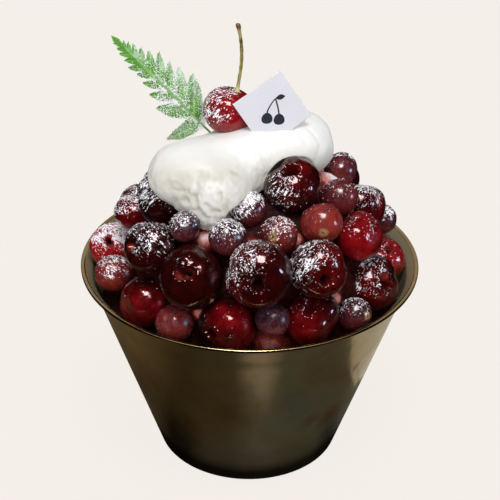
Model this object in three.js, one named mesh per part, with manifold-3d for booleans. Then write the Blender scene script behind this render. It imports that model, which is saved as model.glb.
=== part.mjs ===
// A bowl of cherry bingsu: shaved ice heaped in a tapered metal bowl and covered with pitted cherries and
// red grapes, with a dollop of whipped cream on top that carries a whole cherry, a fern leaf and a small
// square card. Millimetres, +Z up. The origin is the centre of the bowl's foot, and -Y is the serving side.
import * as THREE from "three";
import { mergeVertices } from "three/addons/utils/BufferGeometryUtils.js";
import Module from "manifold-3d";

const wasm = await Module();
wasm.setup();

// ---- Driving sizes ----

const GAP = 0.4; // air left between neighbouring solids
const SIMPLER = 0.08; // how far a carved surface may move while its small facets are merged

const BOWL = {
  footRadius: 40.2,
  wallRadius: 69.7, // outside of the wall, just under the rim
  rimRadius: 73,
  height: 91,
  lipRise: 2.2, // how far the rim climbs as it flares out
  sheet: 1.1, // thickness of the metal
  footCorner: 1.6,
  sides: 48,
};

const ICE = {
  domeRadius: 57.5,
  domeCentre: 82, // height of the centre of the ball-shaped dome
  shoreHeight: 79, // level of the ice where it meets the wall
  sides: 24,
  domeRows: 6,
  roughness: 1.1,
};

const SERVING_TILT = 30; // degrees above the horizon that the front of the heap looks towards
const FRUIT_SINK = 0.3; // a fruit's centre stands this share of its radius above the ice

// Each fruit: kind, diameter, turn round the heap (0 at the front, positive to the right), rise up the
// dome in degrees, how much deeper than usual it sits, and for a pitted cherry where its hole looks:
// sideways and upwards from the serving direction, in radii.
const FRONT_FRUIT = [
  ["cherry", 24.5, -9, 11, 0, [-0.72, -0.2]],
  ["grape", 15, 8, 14, 0],
  ["cherry", 24, 25, 13, 0, [-0.1, 0.45]],
  ["grape", 15, 46, 6, 0],
  ["cherry", 24, 66, 10, 0, [0.5, 0.1]],
  ["cherry", 20, 92, 8, 0, [0.35, 0.6]],
  ["grape", 17, -30, 7, 0],
  ["cherry", 21.5, -47, 9, 0],
  ["grape", 17, -75, 9, 0],
  ["cherry", 20, -95, 10, 0, [-0.15, 0.3]],
  ["cherry", 25.5, -24, 28, 0, [-0.27, 0.15]],
  ["cherry", 26.5, 4, 31, 0, [0, -0.32]],
  ["cherry", 23.5, 31, 29, 0, [0.3, -0.5]],
  ["cherry", 20, 62, 35, 0],
  ["cherry", 21, 84, 38, 0],
  ["grape", 15, 100, 21, -2],
  ["cherry", 23, -51, 34, 0, [-0.8, 0.1]],
  ["grape", 14, -104, 11, 0],
  ["cherry", 21, -104, 26, 4],
  ["cherry", 16, -82, 36, 0],
  ["grape", 13.5, -39, 44, 0],
  ["grape", 16, -12, 44, 0],
  ["grape", 17, 15, 45, 0],
  ["grape", 18, 43, 45, 0],
  ["grape", 17, 69, 48, 0],
  ["grape", 14.5, 112, 46, 0],
  ["grape", 15, 125, 38, -2],
  ["cherry", 18, -65, 45, 0],
  ["cherry", 17, -101, 40, 5],
  ["grape", 17, -2, 56, 0],
  ["cherry", 23.5, 40, 65, 0, [-0.1, 0.5]],
];

// The far side is filled by rule: rows of fruit from one turn to another, with their diameters in order.
const BACK_ROWS = [
  { rise: 8, from: 118, to: 240, deeper: 0, sizes: [23, 17, 21, 24, 16, 22, 18] },
  { rise: 26, from: 136, to: 230, deeper: 0, sizes: [23, 17, 21, 24, 16] },
  { rise: 42, from: 154, to: 217, deeper: 2, sizes: [22, 18, 20] },
  { rise: 57, from: 150, to: 200, deeper: 6, sizes: [16, 15, 15] },
];

const CREAM = {
  core: [-2, -5, 141],
  // Lobes of the dollop: centre, then half sizes along X, Y and Z.
  lobes: [
    [-24, -17, 139.5, 17.5, 16, 12.5],
    [-3, -4, 140, 18, 15, 13.5],
    [19, 4, 143.5, 15.5, 14.5, 13.5],
    [-13, -27, 132.5, 12.5, 12, 11.5],
    [5, -9, 144.5, 13, 8, 8],
  ],
  blend: 4,
  sides: 32,
  rows: 18,
};

const TOP_CHERRY = { diameter: 21.5, centre: [-9.2, 0, 160.4], lean: [0.3, 0.05, 1] };

const STEM = {
  radius: 0.75,
  endRadius: 1.4,
  path: [[-6.2, 0.8, 166], [-5, 1.6, 174], [-4.2, 2.6, 183], [-4.7, 3.6, 190], [-5.8, 4.6, 196]],
  sides: 6,
  steps: 10,
};

const CARD = {
  side: 23.4,
  thickness: 0.5,
  corner: [5.4, -11, 148.2], // the corner that stands in the cream
  turn: 32.5, // degrees from the level to the lower right edge
  lean: 8,
  yaw: 12.5,
  bow: 0.5,
};

const LEAF = {
  base: [-19.7, 0.8, 152.8],
  tip: [-56, -1.5, 192.8],
  thickness: 0.6,
  stalk: 8, // length of bare stalk below the first leaflets
  midrib: 0.9,
  splay: 48, // degrees between a leaflet and the midrib
  fold: 0.4, // how far the two halves fold back, as slope
  arch: 3, // how far the blade bows towards the front
  // Leaflets: where each stands on the midrib, how far it reaches to the side, and the share of that
  // reach at which it parts from the next one up.
  right: [[6.5, 12.5, 0.7], [15, 10.5, 0.6], [21, 9, 0.55], [27, 9, 0.55], [32.5, 6.5, 0.5],
    [37.5, 5, 0.5], [41.5, 4, 0.5], [44.5, 3, 0.5], [47, 2, 0.5], [49.5, 1.2, 0.5]],
  left: [[11.5, 8.5, 0.2], [19.5, 6.5, 0.15], [26.5, 5, 0.2], [32, 4.2, 0.5], [35.5, 4.6, 0.5],
    [40, 3.5, 0.5], [43.5, 3.2, 0.5], [46.5, 2.4, 0.5], [49, 1.6, 0.5]],
  // The lowest left leaflet hangs: its edge as where each point stands, its place along, and across.
  droop: [[0.3, 0.5, 5.5], [0.9, 2.2, 10.5], [1.6, 5.8, 14.8], [2.6, 7, 10.5], [3.4, 7.2, 6],
    [4.2, 7.5, 2.5]],
};

const DEGREE = Math.PI / 180;

// ---- Colours, sRGB ----

const MATERIALS = {
  bowl: { color: 0x6b5f45, roughness: 0.32, metalness: 0.9 },
  ice: { color: 0xe6b3b4, roughness: 0.6, metalness: 0 },
  cherry: { color: 0x4a0d12, roughness: 0.25, metalness: 0 },
  grape: { color: 0x5c2430, roughness: 0.35, metalness: 0 },
  cream: { color: 0xf7f5f0, roughness: 0.55, metalness: 0 },
  top_cherry: { color: 0x8a1620, roughness: 0.3, metalness: 0 },
  stem: { color: 0x8a7a3c, roughness: 0.6, metalness: 0 },
  leaf: { color: 0x7fae62, roughness: 0.6, metalness: 0 },
  card: { color: 0xe9e7ec, roughness: 0.6, metalness: 0 },
};

const part = new THREE.Group();

function addPiece(name, geometry, material) {
  const mesh = new THREE.Mesh(geometry, new THREE.MeshStandardMaterial(MATERIALS[material]));
  mesh.name = name;
  part.add(mesh);
  return mesh;
}

// ---- Helpers ----

/** Numbers from 0 to 1 that are the same on every run. */
function seededRandom(seed) {
  let state = seed;
  return () => {
    state = (state * 1664525 + 1013904223) % 4294967296;
    return state / 4294967296;
  };
}

function shareVertices(geometry) {
  const bare = geometry.clone();
  bare.deleteAttribute("normal");
  bare.deleteAttribute("uv");
  return mergeVertices(bare, 1e-4);
}

function toSolid(geometry) {
  const shared = shareVertices(geometry);
  return new wasm.Manifold(
    new wasm.Mesh({
      numProp: 3,
      vertProperties: new Float32Array(shared.attributes.position.array),
      triVerts: new Uint32Array(shared.index.array),
    }),
  );
}

function toGeometry(solid) {
  const mesh = solid.getMesh();
  return new THREE.BufferGeometry()
    .setAttribute("position", new THREE.BufferAttribute(mesh.vertProperties, 3))
    .setIndex(new THREE.BufferAttribute(mesh.triVerts, 1));
}

/** The largest body of a solid, without scraps that a cut left behind. */
function largestBody(solid) {
  return solid.decompose().reduce((a, b) => (a.volume() > b.volume() ? a : b));
}

/** A closed solid of revolution about Z from [radius, height] points that start and end on the axis. */
function lathe(profile, sides) {
  const points = profile.map(([r, z]) => new THREE.Vector2(r, z));
  return new THREE.LatheGeometry(points, sides).rotateX(Math.PI / 2);
}

function moveVertices(geometry, place) {
  const positions = geometry.attributes.position;
  const point = new THREE.Vector3();
  for (let i = 0; i < positions.count; i++) {
    place(point.fromBufferAttribute(positions, i));
    positions.setXYZ(i, point.x, point.y, point.z);
  }
  return geometry;
}

/** A sphere with few faces whose flats all lie outside the given radius. */
function roomFor(centre, radius, detail = 1) {
  const FLAT_SHARE = detail === 1 ? 0.93 : 0.98; // nearest flat of the faceted ball, in its own radii
  return toSolid(new THREE.IcosahedronGeometry((radius + GAP) / FLAT_SHARE, detail).translate(...centre));
}

// ---- Bowl ----

/** Outside radius of the wall at a height. */
function wallOutside(z) {
  const wallTop = BOWL.height - BOWL.lipRise;
  return BOWL.footRadius + ((BOWL.wallRadius - BOWL.footRadius) * z) / wallTop;
}

const wallInside = (z) => wallOutside(z) - BOWL.sheet;

function bowlGeometry() {
  const { footRadius, wallRadius, rimRadius, height, lipRise, sheet, footCorner, sides } = BOWL;
  const wallTop = height - lipRise;
  const profile = [
    [0, sheet],
    [wallInside(sheet) - footCorner, sheet],
    [wallInside(sheet + footCorner), sheet + footCorner],
    [wallInside(wallTop - 2), wallTop - 2],
    [(wallRadius + rimRadius) / 2 - 0.8, height - 0.5],
    [rimRadius - 0.5, height],
    [rimRadius, height - sheet / 2],
    [rimRadius - 0.5, height - sheet],
    [wallRadius + 0.3, wallTop - 1.2],
    [wallOutside(footCorner), footCorner],
    [footRadius - footCorner, 0],
    [0, 0],
  ];
  return lathe(profile.reverse(), sides);
}

// ---- Fruit ----

const domeCentre = new THREE.Vector3(0, 0, ICE.domeCentre);
const serving = new THREE.Vector3(0, -Math.cos(SERVING_TILT * DEGREE), Math.sin(SERVING_TILT * DEGREE));
const servingUp = new THREE.Vector3(0, Math.sin(SERVING_TILT * DEGREE), Math.cos(SERVING_TILT * DEGREE));

function onHeap(turn, rise, distance) {
  const flat = Math.cos(rise * DEGREE) * distance;
  return new THREE.Vector3(
    flat * Math.sin(turn * DEGREE),
    -flat * Math.cos(turn * DEGREE),
    domeCentre.z + distance * Math.sin(rise * DEGREE),
  );
}

/** The unit direction that a hole looks in, from its offset to the serving direction. */
function holeDirection([side, up]) {
  const forward = Math.sqrt(Math.max(0, 1 - side * side - up * up));
  const direction = new THREE.Vector3(side, 0, 0).addScaledVector(servingUp, up);
  return direction.addScaledVector(serving, forward).normalize();
}

function listFruit() {
  const random = seededRandom(11);
  const rows = [...FRONT_FRUIT];
  for (const { rise, from, to, deeper, sizes } of BACK_ROWS)
    sizes.forEach((diameter, i) => {
      const turn = from + ((to - from) * i) / (sizes.length - 1);
      const place = [turn, rise + 4 * (random() - 0.5), deeper];
      rows.push(diameter < 20 ? ["grape", diameter, ...place] : ["cherry", diameter, ...place, "outward"]);
    });
  const count = { cherry: 0, grape: 0 };
  return rows.map(([kind, diameter, turn, rise, deeper, hole]) => {
    const radius = diameter / 2;
    const home = onHeap(turn, rise, ICE.domeRadius + FRUIT_SINK * radius - deeper);
    const away = home.clone().sub(domeCentre).normalize();
    const jitter = new THREE.Vector3(random() - 0.5, random() - 0.5, random() - 0.5);
    count[kind]++;
    return {
      name: `${kind}_${String(count[kind]).padStart(2, "0")}`,
      kind,
      radius,
      home,
      centre: home.clone(),
      pitted: Boolean(hole),
      axis: Array.isArray(hole) ? holeDirection(hole) : away.addScaledVector(jitter, 1.2).normalize(),
      spin: random() * 360,
    };
  });
}

/**
 * Pushes fruit apart and off the bowl until nothing overlaps, while each is drawn towards its place.
 * At first they give way mostly along the serving direction, so that the front keeps its arrangement.
 */
function settle(fruit) {
  const ROUNDS = 900;
  const DRAW = 0.05;
  const ACROSS = 0.25; // share of a push that acts across the serving direction at first
  const push = new THREE.Vector3();
  for (let round = 0; round < ROUNDS; round++) {
    const arranging = round < (2 * ROUNDS) / 3;
    if (arranging)
      for (const a of fruit) {
        push.copy(a.home).sub(a.centre);
        a.centre.addScaledVector(push.addScaledVector(serving, -0.7 * push.dot(serving)), DRAW);
      }
    for (let i = 0; i < fruit.length; i++)
      for (let j = i + 1; j < fruit.length; j++) {
        const [a, b] = [fruit[i], fruit[j]];
        push.copy(a.centre).sub(b.centre);
        const overlap = a.radius + b.radius + GAP - push.length();
        if (overlap <= 0) continue;
        push.setLength(overlap / 2);
        if (arranging) {
          push.multiplyScalar(ACROSS);
          push.addScaledVector(serving, (1 / ACROSS - 1) * push.dot(serving));
        }
        a.centre.add(push);
        b.centre.sub(push);
      }
    for (const a of fruit) keepInsideRim(a);
  }
}

/** Moves a fruit towards the axis until it clears the wall and the inner edge of the rim. */
function keepInsideRim(fruit) {
  const { centre, radius } = fruit;
  const clear = radius + GAP + 0.3;
  const wallTop = BOWL.height - BOWL.lipRise;
  const out = Math.hypot(centre.x, centre.y);
  const wallSlope = (BOWL.wallRadius - BOWL.footRadius) / wallTop;
  const nearest = Math.min(centre.z - 0.3 * radius, wallTop);
  const above = centre.z - nearest;
  const reach =
    centre.z - wallSlope * radius < wallTop
      ? wallInside(centre.z) - clear * Math.hypot(1, wallSlope)
      : wallInside(wallTop) - Math.sqrt(Math.max(0, clear * clear - above * above));
  if (out <= reach) return;
  centre.x *= reach / out;
  centre.y *= reach / out;
}

// Polar angles of the rings of a fruit's surface, close together round a hole.
const PITTED_RINGS = [0, 0.15, 0.28, 0.42, 0.72, 1.1, 1.5, 1.9, 2.35, 2.75, Math.PI];
const CHERRY_RINGS = [0, 0.4, 0.75, 1.1, 1.5, 1.9, 2.35, 2.75, Math.PI];
const GRAPE_RINGS = [0, 0.5, 1.0, 1.5, 2.0, 2.55, Math.PI];

const bump = (x, width) => Math.exp(-(x * x) / (width * width));

/** A cherry's surface as a share of its radius, at a polar angle from its hole and a turn round it. */
function cherryShape(polar, turn, pitted) {
  const shoulders = 1 - 0.06 * Math.cos(polar) ** 2;
  const dimple = 0.14 * bump(polar, 0.6);
  const tip = 0.05 * bump(Math.PI - polar, 0.4);
  const seam = 0.05 * bump(turn, 0.5) * Math.sin(polar);
  const hole = pitted ? 0.42 / (1 + Math.exp((polar - 0.33) / 0.04)) : 0;
  return shoulders - dimple - tip - seam - hole;
}

function grapeShape(polar) {
  return 0.92 + 0.08 * Math.cos(polar) ** 2 - 0.1 * bump(polar, 0.22);
}

function fruitGeometry({ kind, radius, centre, axis, spin, pitted }) {
  const rings = pitted ? PITTED_RINGS : kind === "cherry" ? CHERRY_RINGS : GRAPE_RINGS;
  const sides = kind === "cherry" ? 9 : 8;
  const rows = rings.length - 1;
  const ball = new THREE.SphereGeometry(1, sides, rows);
  moveVertices(ball, (p) => {
    const row = Math.round((Math.acos(THREE.MathUtils.clamp(p.y, -1, 1)) / Math.PI) * rows);
    const polar = rings[row];
    const turn = Math.atan2(p.z, p.x);
    const share = kind === "cherry" ? cherryShape(polar, turn, pitted) : grapeShape(polar);
    const flat = Math.sin(polar);
    p.set(flat * Math.cos(turn), Math.cos(polar), flat * Math.sin(turn)).multiplyScalar(share * radius);
  });
  const stand = new THREE.Quaternion().setFromUnitVectors(new THREE.Vector3(0, 1, 0), axis);
  return ball
    .rotateY(spin * DEGREE)
    .applyQuaternion(stand)
    .translate(...centre.toArray());
}

// ---- Shaved ice ----

/** The profile of the ice: it fills the bowl, then rises in a dome. grow swells what is above the shore. */
function iceProfile(grow = 0) {
  const floor = BOWL.sheet + GAP;
  const { domeRadius, domeCentre: mid, shoreHeight, domeRows } = ICE;
  const radius = domeRadius + grow;
  const profile = [
    [0, floor],
    [wallInside(floor) - BOWL.footCorner - 1, floor],
    [wallInside(floor + 3) - 1, floor + 2.5],
    [wallInside(shoreHeight) - GAP - 0.2, shoreHeight + grow],
    [radius + 2, shoreHeight + 0.5 + grow],
  ];
  for (let i = 0; i <= domeRows; i++) {
    const rise = ((90 * i) / domeRows) * DEGREE;
    profile.push([i === domeRows ? 0 : radius * Math.cos(rise), mid + radius * Math.sin(rise)]);
  }
  return profile;
}

/** Small steps and hollows of the ice, the same at the same place. */
function roughIce(p) {
  const across = Math.sin(p.x * 0.43 + 1.7 * Math.sin(p.z * 0.31));
  const along = Math.cos(p.y * 0.39 + 1.3 * Math.sin(p.x * 0.27));
  return across * along;
}

function iceSolid(fruit) {
  const heap = lathe(iceProfile(), ICE.sides);
  moveVertices(heap, (p) => {
    if (p.z < ICE.shoreHeight + 2) return;
    const away = p.clone().sub(domeCentre).normalize();
    p.addScaledVector(away, ICE.roughness * (roughIce(p) - 0.5));
  });
  const ice = fruit.reduce((rest, f) => rest.subtract(roomFor(f.centre, f.radius)), toSolid(heap));
  return ice.simplify(SIMPLER);
}

// ---- Cream ----

/** Below 0 inside the dollop: its lobes run smoothly into each other. */
function creamField(x, y, z) {
  let sum = 0;
  for (const [cx, cy, cz, rx, ry, rz] of CREAM.lobes) {
    const size = Math.min(rx, ry, rz);
    const inside = Math.hypot((x - cx) / rx, (y - cy) / ry, (z - cz) / rz);
    sum += Math.exp((-(inside - 1) * size) / CREAM.blend);
  }
  return -CREAM.blend * Math.log(sum);
}

/** Distance from the dollop's core to its surface in a direction. */
function creamReach(direction) {
  const FARTHEST = 60;
  let [near, far] = [0, FARTHEST];
  for (let i = 0; i < 24; i++) {
    const middle = (near + far) / 2;
    const at = direction.clone().multiplyScalar(middle);
    const [x, y, z] = CREAM.core;
    if (creamField(at.x + x, at.y + y, at.z + z) < 0) near = middle;
    else far = middle;
  }
  return near;
}

function creamSolid(fruit) {
  const ball = new THREE.SphereGeometry(1, CREAM.sides, CREAM.rows).rotateX(Math.PI / 2);
  moveVertices(ball, (p) => {
    const direction = p.clone().normalize();
    p.copy(direction).multiplyScalar(creamReach(direction)).add(new THREE.Vector3(...CREAM.core));
  });
  let cream = toSolid(ball).subtract(toSolid(lathe(iceProfile(GAP + ICE.roughness * 0.5), ICE.sides)));
  for (const f of fruit) cream = cream.subtract(roomFor(f.centre, f.radius));
  cream = cream.subtract(roomFor(new THREE.Vector3(...TOP_CHERRY.centre), TOP_CHERRY.diameter / 2, 2));
  cream = cream.subtract(toSolid(cardGeometry(GAP))).subtract(toSolid(leafSlot()));
  return largestBody(cream.simplify(SIMPLER));
}

// ---- Cherry on top ----

function topCherryGeometry() {
  const { diameter, centre, lean } = TOP_CHERRY;
  const radius = diameter / 2;
  const ball = new THREE.SphereGeometry(1, 16, 10);
  moveVertices(ball, (p) => {
    const polar = Math.acos(THREE.MathUtils.clamp(p.y, -1, 1));
    const turn = Math.atan2(p.z, p.x);
    p.multiplyScalar(radius * cherryShape(polar, turn, false));
  });
  const stand = new THREE.Quaternion().setFromUnitVectors(
    new THREE.Vector3(0, 1, 0),
    new THREE.Vector3(...lean).normalize(),
  );
  return ball.applyQuaternion(stand).translate(...centre);
}

function stemSolid(cherry) {
  const { radius, endRadius, path, sides, steps } = STEM;
  const section = new THREE.Shape();
  for (let i = 0; i < sides; i++) {
    const angle = (2 * Math.PI * i) / sides;
    const at = [radius * Math.cos(angle), radius * Math.sin(angle)];
    if (i) section.lineTo(...at);
    else section.moveTo(...at);
  }
  const curve = new THREE.CatmullRomCurve3(path.map((p) => new THREE.Vector3(...p)));
  const rod = new THREE.ExtrudeGeometry(section, { steps, bevelEnabled: false, extrudePath: curve });
  const top = curve.getPointAt(1);
  moveVertices(rod, (p) => {
    const FLARE_LENGTH = 3;
    const share = THREE.MathUtils.clamp(1 - (top.z - p.z) / FLARE_LENGTH, 0, 1);
    const middle = curve.getPointAt(1 - ((1 - share) * FLARE_LENGTH) / curve.getLength());
    if (share > 0) p.sub(middle).multiplyScalar(1 + share * (endRadius / radius - 1)).add(middle);
  });
  return toSolid(rod).subtract(roomForCherry(cherry));
}

/** The top cherry, swollen by the gap. */
function roomForCherry(cherry) {
  const [x, y, z] = TOP_CHERRY.centre;
  const swell = 1 + GAP / (TOP_CHERRY.diameter / 2);
  return toSolid(cherry.clone().translate(-x, -y, -z).scale(swell, swell, swell).translate(x, y, z));
}

// ---- Card ----

/** The square card stands on one corner and leans back. swell makes the slot that it stands in. */
function cardGeometry(swell = 0) {
  const { side, thickness, corner, turn, lean, yaw, bow } = CARD;
  const PARTS = 4;
  const [width, depth] = [side + 2 * swell, thickness + 2 * swell];
  const board = new THREE.BoxGeometry(width, depth, width, PARTS, 1, 1);
  board.translate(side / 2, 0, side / 2);
  moveVertices(board, (p) => {
    const across = p.x / side - 0.5;
    p.y += bow * 4 * across * across;
  });
  return board
    .rotateY(-turn * DEGREE)
    .rotateX(-lean * DEGREE)
    .rotateZ(yaw * DEGREE)
    .translate(...corner);
}

// ---- Leaf ----

/**
 * One half of the blade's edge, from the stalk to the tip: where each point stands on the midrib, and its
 * place along and across the blade. A leaflet's points stand further down the midrib than they reach.
 */
function bladeEdge(leafletList, droop) {
  const slant = 1 / Math.tan(LEAF.splay * DEGREE);
  const edge = [-LEAF.stalk, 0].map((foot) => ({ foot, along: foot, across: LEAF.midrib / 2 }));
  for (const [foot, along, across] of droop) edge.push({ foot, along, across });
  const add = (foot, across) => edge.push({ foot, along: foot + across * slant, across });
  let parting = edge.at(-1).foot;
  leafletList.forEach(([foot, reach, share], i) => {
    const [nextFoot, nextReach] = leafletList[i + 1] ?? [frond.total, 0];
    const nextParting = (foot + nextFoot) / 2;
    add(foot - 0.72 * (foot - parting), 0.72 * reach);
    add(foot, reach);
    add(foot + 0.45 * (nextParting - foot), 0.8 * reach);
    if (nextReach > 0) add(nextParting, share * Math.min(reach, nextReach));
    parting = nextParting;
  });
  return edge;
}

/** Triangles between the midrib and an edge, as [along, across]. Both halves share the midrib's points. */
function bladeTriangles(edge, stands, side) {
  const triangles = [];
  edge.forEach(({ foot, along, across }, i) => {
    const outer = [along, side * across];
    const next = edge[i + 1];
    const end = next?.foot ?? frond.total;
    const rib = stands.filter((l) => l >= foot && l <= end).map((l) => [l, 0]);
    for (let k = 0; k + 1 < rib.length; k++) triangles.push([outer, rib[k], rib[k + 1]]);
    if (next) triangles.push([outer, rib.at(-1), [next.along, side * next.across]]);
  });
  return side < 0 ? triangles : triangles.map(([a, b, c]) => [a, c, b]);
}

/** Where the blade lies: along its midrib, to its right, and out of its front face. */
function frondAxes() {
  const base = new THREE.Vector3(...LEAF.base);
  const along = new THREE.Vector3(...LEAF.tip).sub(base);
  const total = along.length();
  along.normalize();
  const face = serving.clone().addScaledVector(along, -serving.dot(along)).normalize();
  const side = new THREE.Vector3().crossVectors(along, face);
  return { base, along, side, face, total };
}

/** A place on the bent blade: l along the midrib, w to the right, t in front of its back face. */
function onBlade([l, w], t) {
  const { base, along, side, face, total } = frond;
  const arch = LEAF.arch * Math.sin(Math.PI * THREE.MathUtils.clamp(l / total, 0, 1));
  const wave = 0.5 * Math.sin(l * 0.9 + (w > 0 ? 1 : 0)) * Math.min(1, Math.abs(w) / 4);
  const depth = arch - LEAF.fold * Math.abs(w) + wave + t;
  return base.clone().addScaledVector(along, l).addScaledVector(side, w).addScaledVector(face, depth);
}

/** The blade is a thin sheet of even thickness, with both faces split into the same triangles. */
function leafGeometry() {
  const right = bladeEdge(LEAF.right, []);
  const left = bladeEdge(LEAF.left, LEAF.droop);
  const feet = [...right, ...left].map(({ foot }) => foot);
  const stands = [...new Set([...feet, frond.total])].sort((a, b) => a - b);
  const flat = [...bladeTriangles(right, stands, 1), ...bladeTriangles(left, stands, -1)];
  const corners = [];
  for (const [a, b, c] of flat) {
    corners.push(onBlade(a, LEAF.thickness), onBlade(b, LEAF.thickness), onBlade(c, LEAF.thickness));
    corners.push(onBlade(a, 0), onBlade(c, 0), onBlade(b, 0));
  }
  for (const [a, b] of openEdges(flat)) {
    const [front, back] = [LEAF.thickness, 0];
    corners.push(onBlade(a, front), onBlade(a, back), onBlade(b, front));
    corners.push(onBlade(b, front), onBlade(a, back), onBlade(b, back));
  }
  return mergeVertices(new THREE.BufferGeometry().setFromPoints(corners), 1e-4);
}

/** The edges that only one of the flat triangles has, in the direction that it runs them. */
function openEdges(triangles) {
  const key = (p) => p.map((v) => v.toFixed(4)).join();
  const edges = triangles.flatMap(([a, b, c]) => [[a, b], [b, c], [c, a]]);
  const runs = new Set(edges.map(([a, b]) => `${key(a)} ${key(b)}`));
  return edges.filter(([a, b]) => !runs.has(`${key(b)} ${key(a)}`));
}

/** The slit in the cream that the leaf's stalk stands in. */
function leafSlot() {
  const { base, along } = frond;
  const stand = new THREE.Quaternion().setFromUnitVectors(new THREE.Vector3(0, 0, 1), along);
  const middle = base.clone().addScaledVector(along, -0.5 * LEAF.stalk);
  const slit = new THREE.BoxGeometry(2.2, 2.2, 2 * LEAF.stalk);
  return slit.applyQuaternion(stand).translate(...middle.toArray());
}

// ---- The part ----

const fruit = listFruit();
settle(fruit);

const frond = frondAxes();
const topCherry = topCherryGeometry();
const cream = creamSolid(fruit);

addPiece("bowl", bowlGeometry(), "bowl");
addPiece("shaved_ice", toGeometry(largestBody(iceSolid(fruit))), "ice");
for (const f of fruit) addPiece(f.name, fruitGeometry(f), f.kind);
addPiece("cream", toGeometry(cream), "cream");
addPiece("top_cherry", topCherry, "top_cherry");
addPiece("cherry_stem", toGeometry(stemSolid(topCherry)), "stem");
addPiece("card", cardGeometry(), "card");
addPiece("fern_leaf", leafGeometry(), "leaf");

export default part;
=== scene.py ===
"""A bowl of cherry bingsu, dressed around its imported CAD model. Sizes in this file are in millimetres."""

import random
from math import acos, ceil, cos, pi, radians, sin, sqrt, tan

import bpy
import numpy as np
from mathutils import Euler, Matrix, Vector
from mathutils.kdtree import KDTree


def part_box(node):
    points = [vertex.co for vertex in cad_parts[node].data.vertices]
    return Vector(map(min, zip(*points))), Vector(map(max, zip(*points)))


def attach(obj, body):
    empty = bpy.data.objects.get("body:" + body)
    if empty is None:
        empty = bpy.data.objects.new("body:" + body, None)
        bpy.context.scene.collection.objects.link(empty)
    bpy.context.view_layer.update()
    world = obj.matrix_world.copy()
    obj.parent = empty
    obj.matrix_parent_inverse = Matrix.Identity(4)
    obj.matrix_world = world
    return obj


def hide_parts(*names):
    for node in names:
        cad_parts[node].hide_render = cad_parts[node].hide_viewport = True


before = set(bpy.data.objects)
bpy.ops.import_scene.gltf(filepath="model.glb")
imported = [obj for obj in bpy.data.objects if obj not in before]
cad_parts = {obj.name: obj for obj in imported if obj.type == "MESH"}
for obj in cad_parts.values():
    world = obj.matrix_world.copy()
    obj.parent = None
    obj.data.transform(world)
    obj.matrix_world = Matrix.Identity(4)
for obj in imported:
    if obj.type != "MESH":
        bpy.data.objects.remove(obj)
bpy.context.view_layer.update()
scene = bpy.context.scene

MM = 0.001
BODY = "root"

# ---- Driving sizes, millimetres. Z is up, -Y is the serving side. ----

FOOT_RADIUS = 40.2
WALL_RADIUS = 69.7  # outside of the wall, just under the rim
LIP_RISE = 2.2
SHEET = 1.1
BOWL_SIDES = 192

DOME_CENTRE = np.array([0.0, 0.0, 82.0])
DOME_RADIUS = 57.5
SHORE_HEIGHT = 79.0
ICE_SINK = 2.6  # how far the ice lies below its solid between the fruit
ICE_SWELL = 5.0  # how far a pale patch rises from there
SERVING_TILT = radians(30)  # the front of the heap looks this far above the horizon

CREAM_CORE = np.array([-2.0, -5.0, 141.0])
CREAM_BLEND = 4.0
CREAM_LOBES = [  # centre, then half sizes along X, Y and Z
    (-24, -17, 139.5, 17.5, 16, 12.5),
    (-3, -4, 140, 18, 15, 13.5),
    (19, 4, 143.5, 15.5, 14.5, 13.5),
    (-13, -27, 132.5, 12.5, 12, 11.5),
    (5, -9, 144.5, 13, 8, 8),
]
CREAM_CREASES = [(-21.5, -25, -11), (-11, -22, -13)]  # upright folds: across, and from where to where up
CREAM_TEARS = [(-30, -14.5), (-26, -18), (-6, -8)]  # small slanting tears: across and up

TOP_CHERRY_RADIUS = 10.75
TOP_CHERRY_CENTRE = np.array([-9.2, 0.0, 160.4])
TOP_CHERRY_LEAN = np.array([0.3, 0.05, 1.0])

STEM_PATH = [(-6.2, 0.8, 166), (-5, 1.6, 174), (-4.2, 2.6, 183), (-4.7, 3.6, 190), (-5.8, 4.6, 196)]
STEM_RADIUS = 0.68

CARD_SIDE = 23.4
CARD_THICKNESS = 0.5
CARD_CORNER = (5.4, -11, 148.2)
CARD_TURN, CARD_LEAN, CARD_YAW = (radians(a) for a in (32.5, 8, 12.5))
CARD_BOW = 0.5

LEAF_BASE = np.array([-19.7, 0.8, 152.8])
LEAF_TIP = np.array([-56.0, -1.5, 192.8])
LEAF_THICKNESS = 0.4
LEAF_STALK = 8.0
LEAF_MIDRIB = 0.9
LEAF_SLANT = 1 / tan(radians(48))  # a leaflet leaves the midrib at 48 degrees
LEAF_FOLD = 0.4
LEAF_ARCH = 3.0
# Leaflets: where each stands on the midrib, its reach, and the share of the reach at which it parts from
# the next.
LEAF_RIGHT = [(6.5, 12.5, 0.7), (15, 10.5, 0.6), (21, 9, 0.55), (27, 9, 0.55), (32.5, 6.5, 0.5),
              (37.5, 5, 0.5), (41.5, 4, 0.5), (44.5, 3, 0.5), (47, 2, 0.5), (49.5, 1.2, 0.5)]
LEAF_LEFT = [(11.5, 8.5, 0.2), (19.5, 6.5, 0.15), (26.5, 5, 0.2), (32, 4.2, 0.5), (35.5, 4.6, 0.5),
             (40, 3.5, 0.5), (43.5, 3.2, 0.5), (46.5, 2.4, 0.5), (49, 1.6, 0.5)]
# The lowest left leaflet hangs: where each point of its edge stands, and its place along and across.
LEAF_DROOP = [(0.3, 0.5, 5.5), (0.9, 2.2, 10.5), (1.6, 5.8, 14.8), (2.6, 7, 10.5), (3.4, 7.2, 6),
              (4.2, 7.5, 2.5)]

BROWN, GREY, BLACK = (0.32, 0.12, 0.05), (0.4, 0.37, 0.31), (0.05, 0.035, 0.02)
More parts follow.
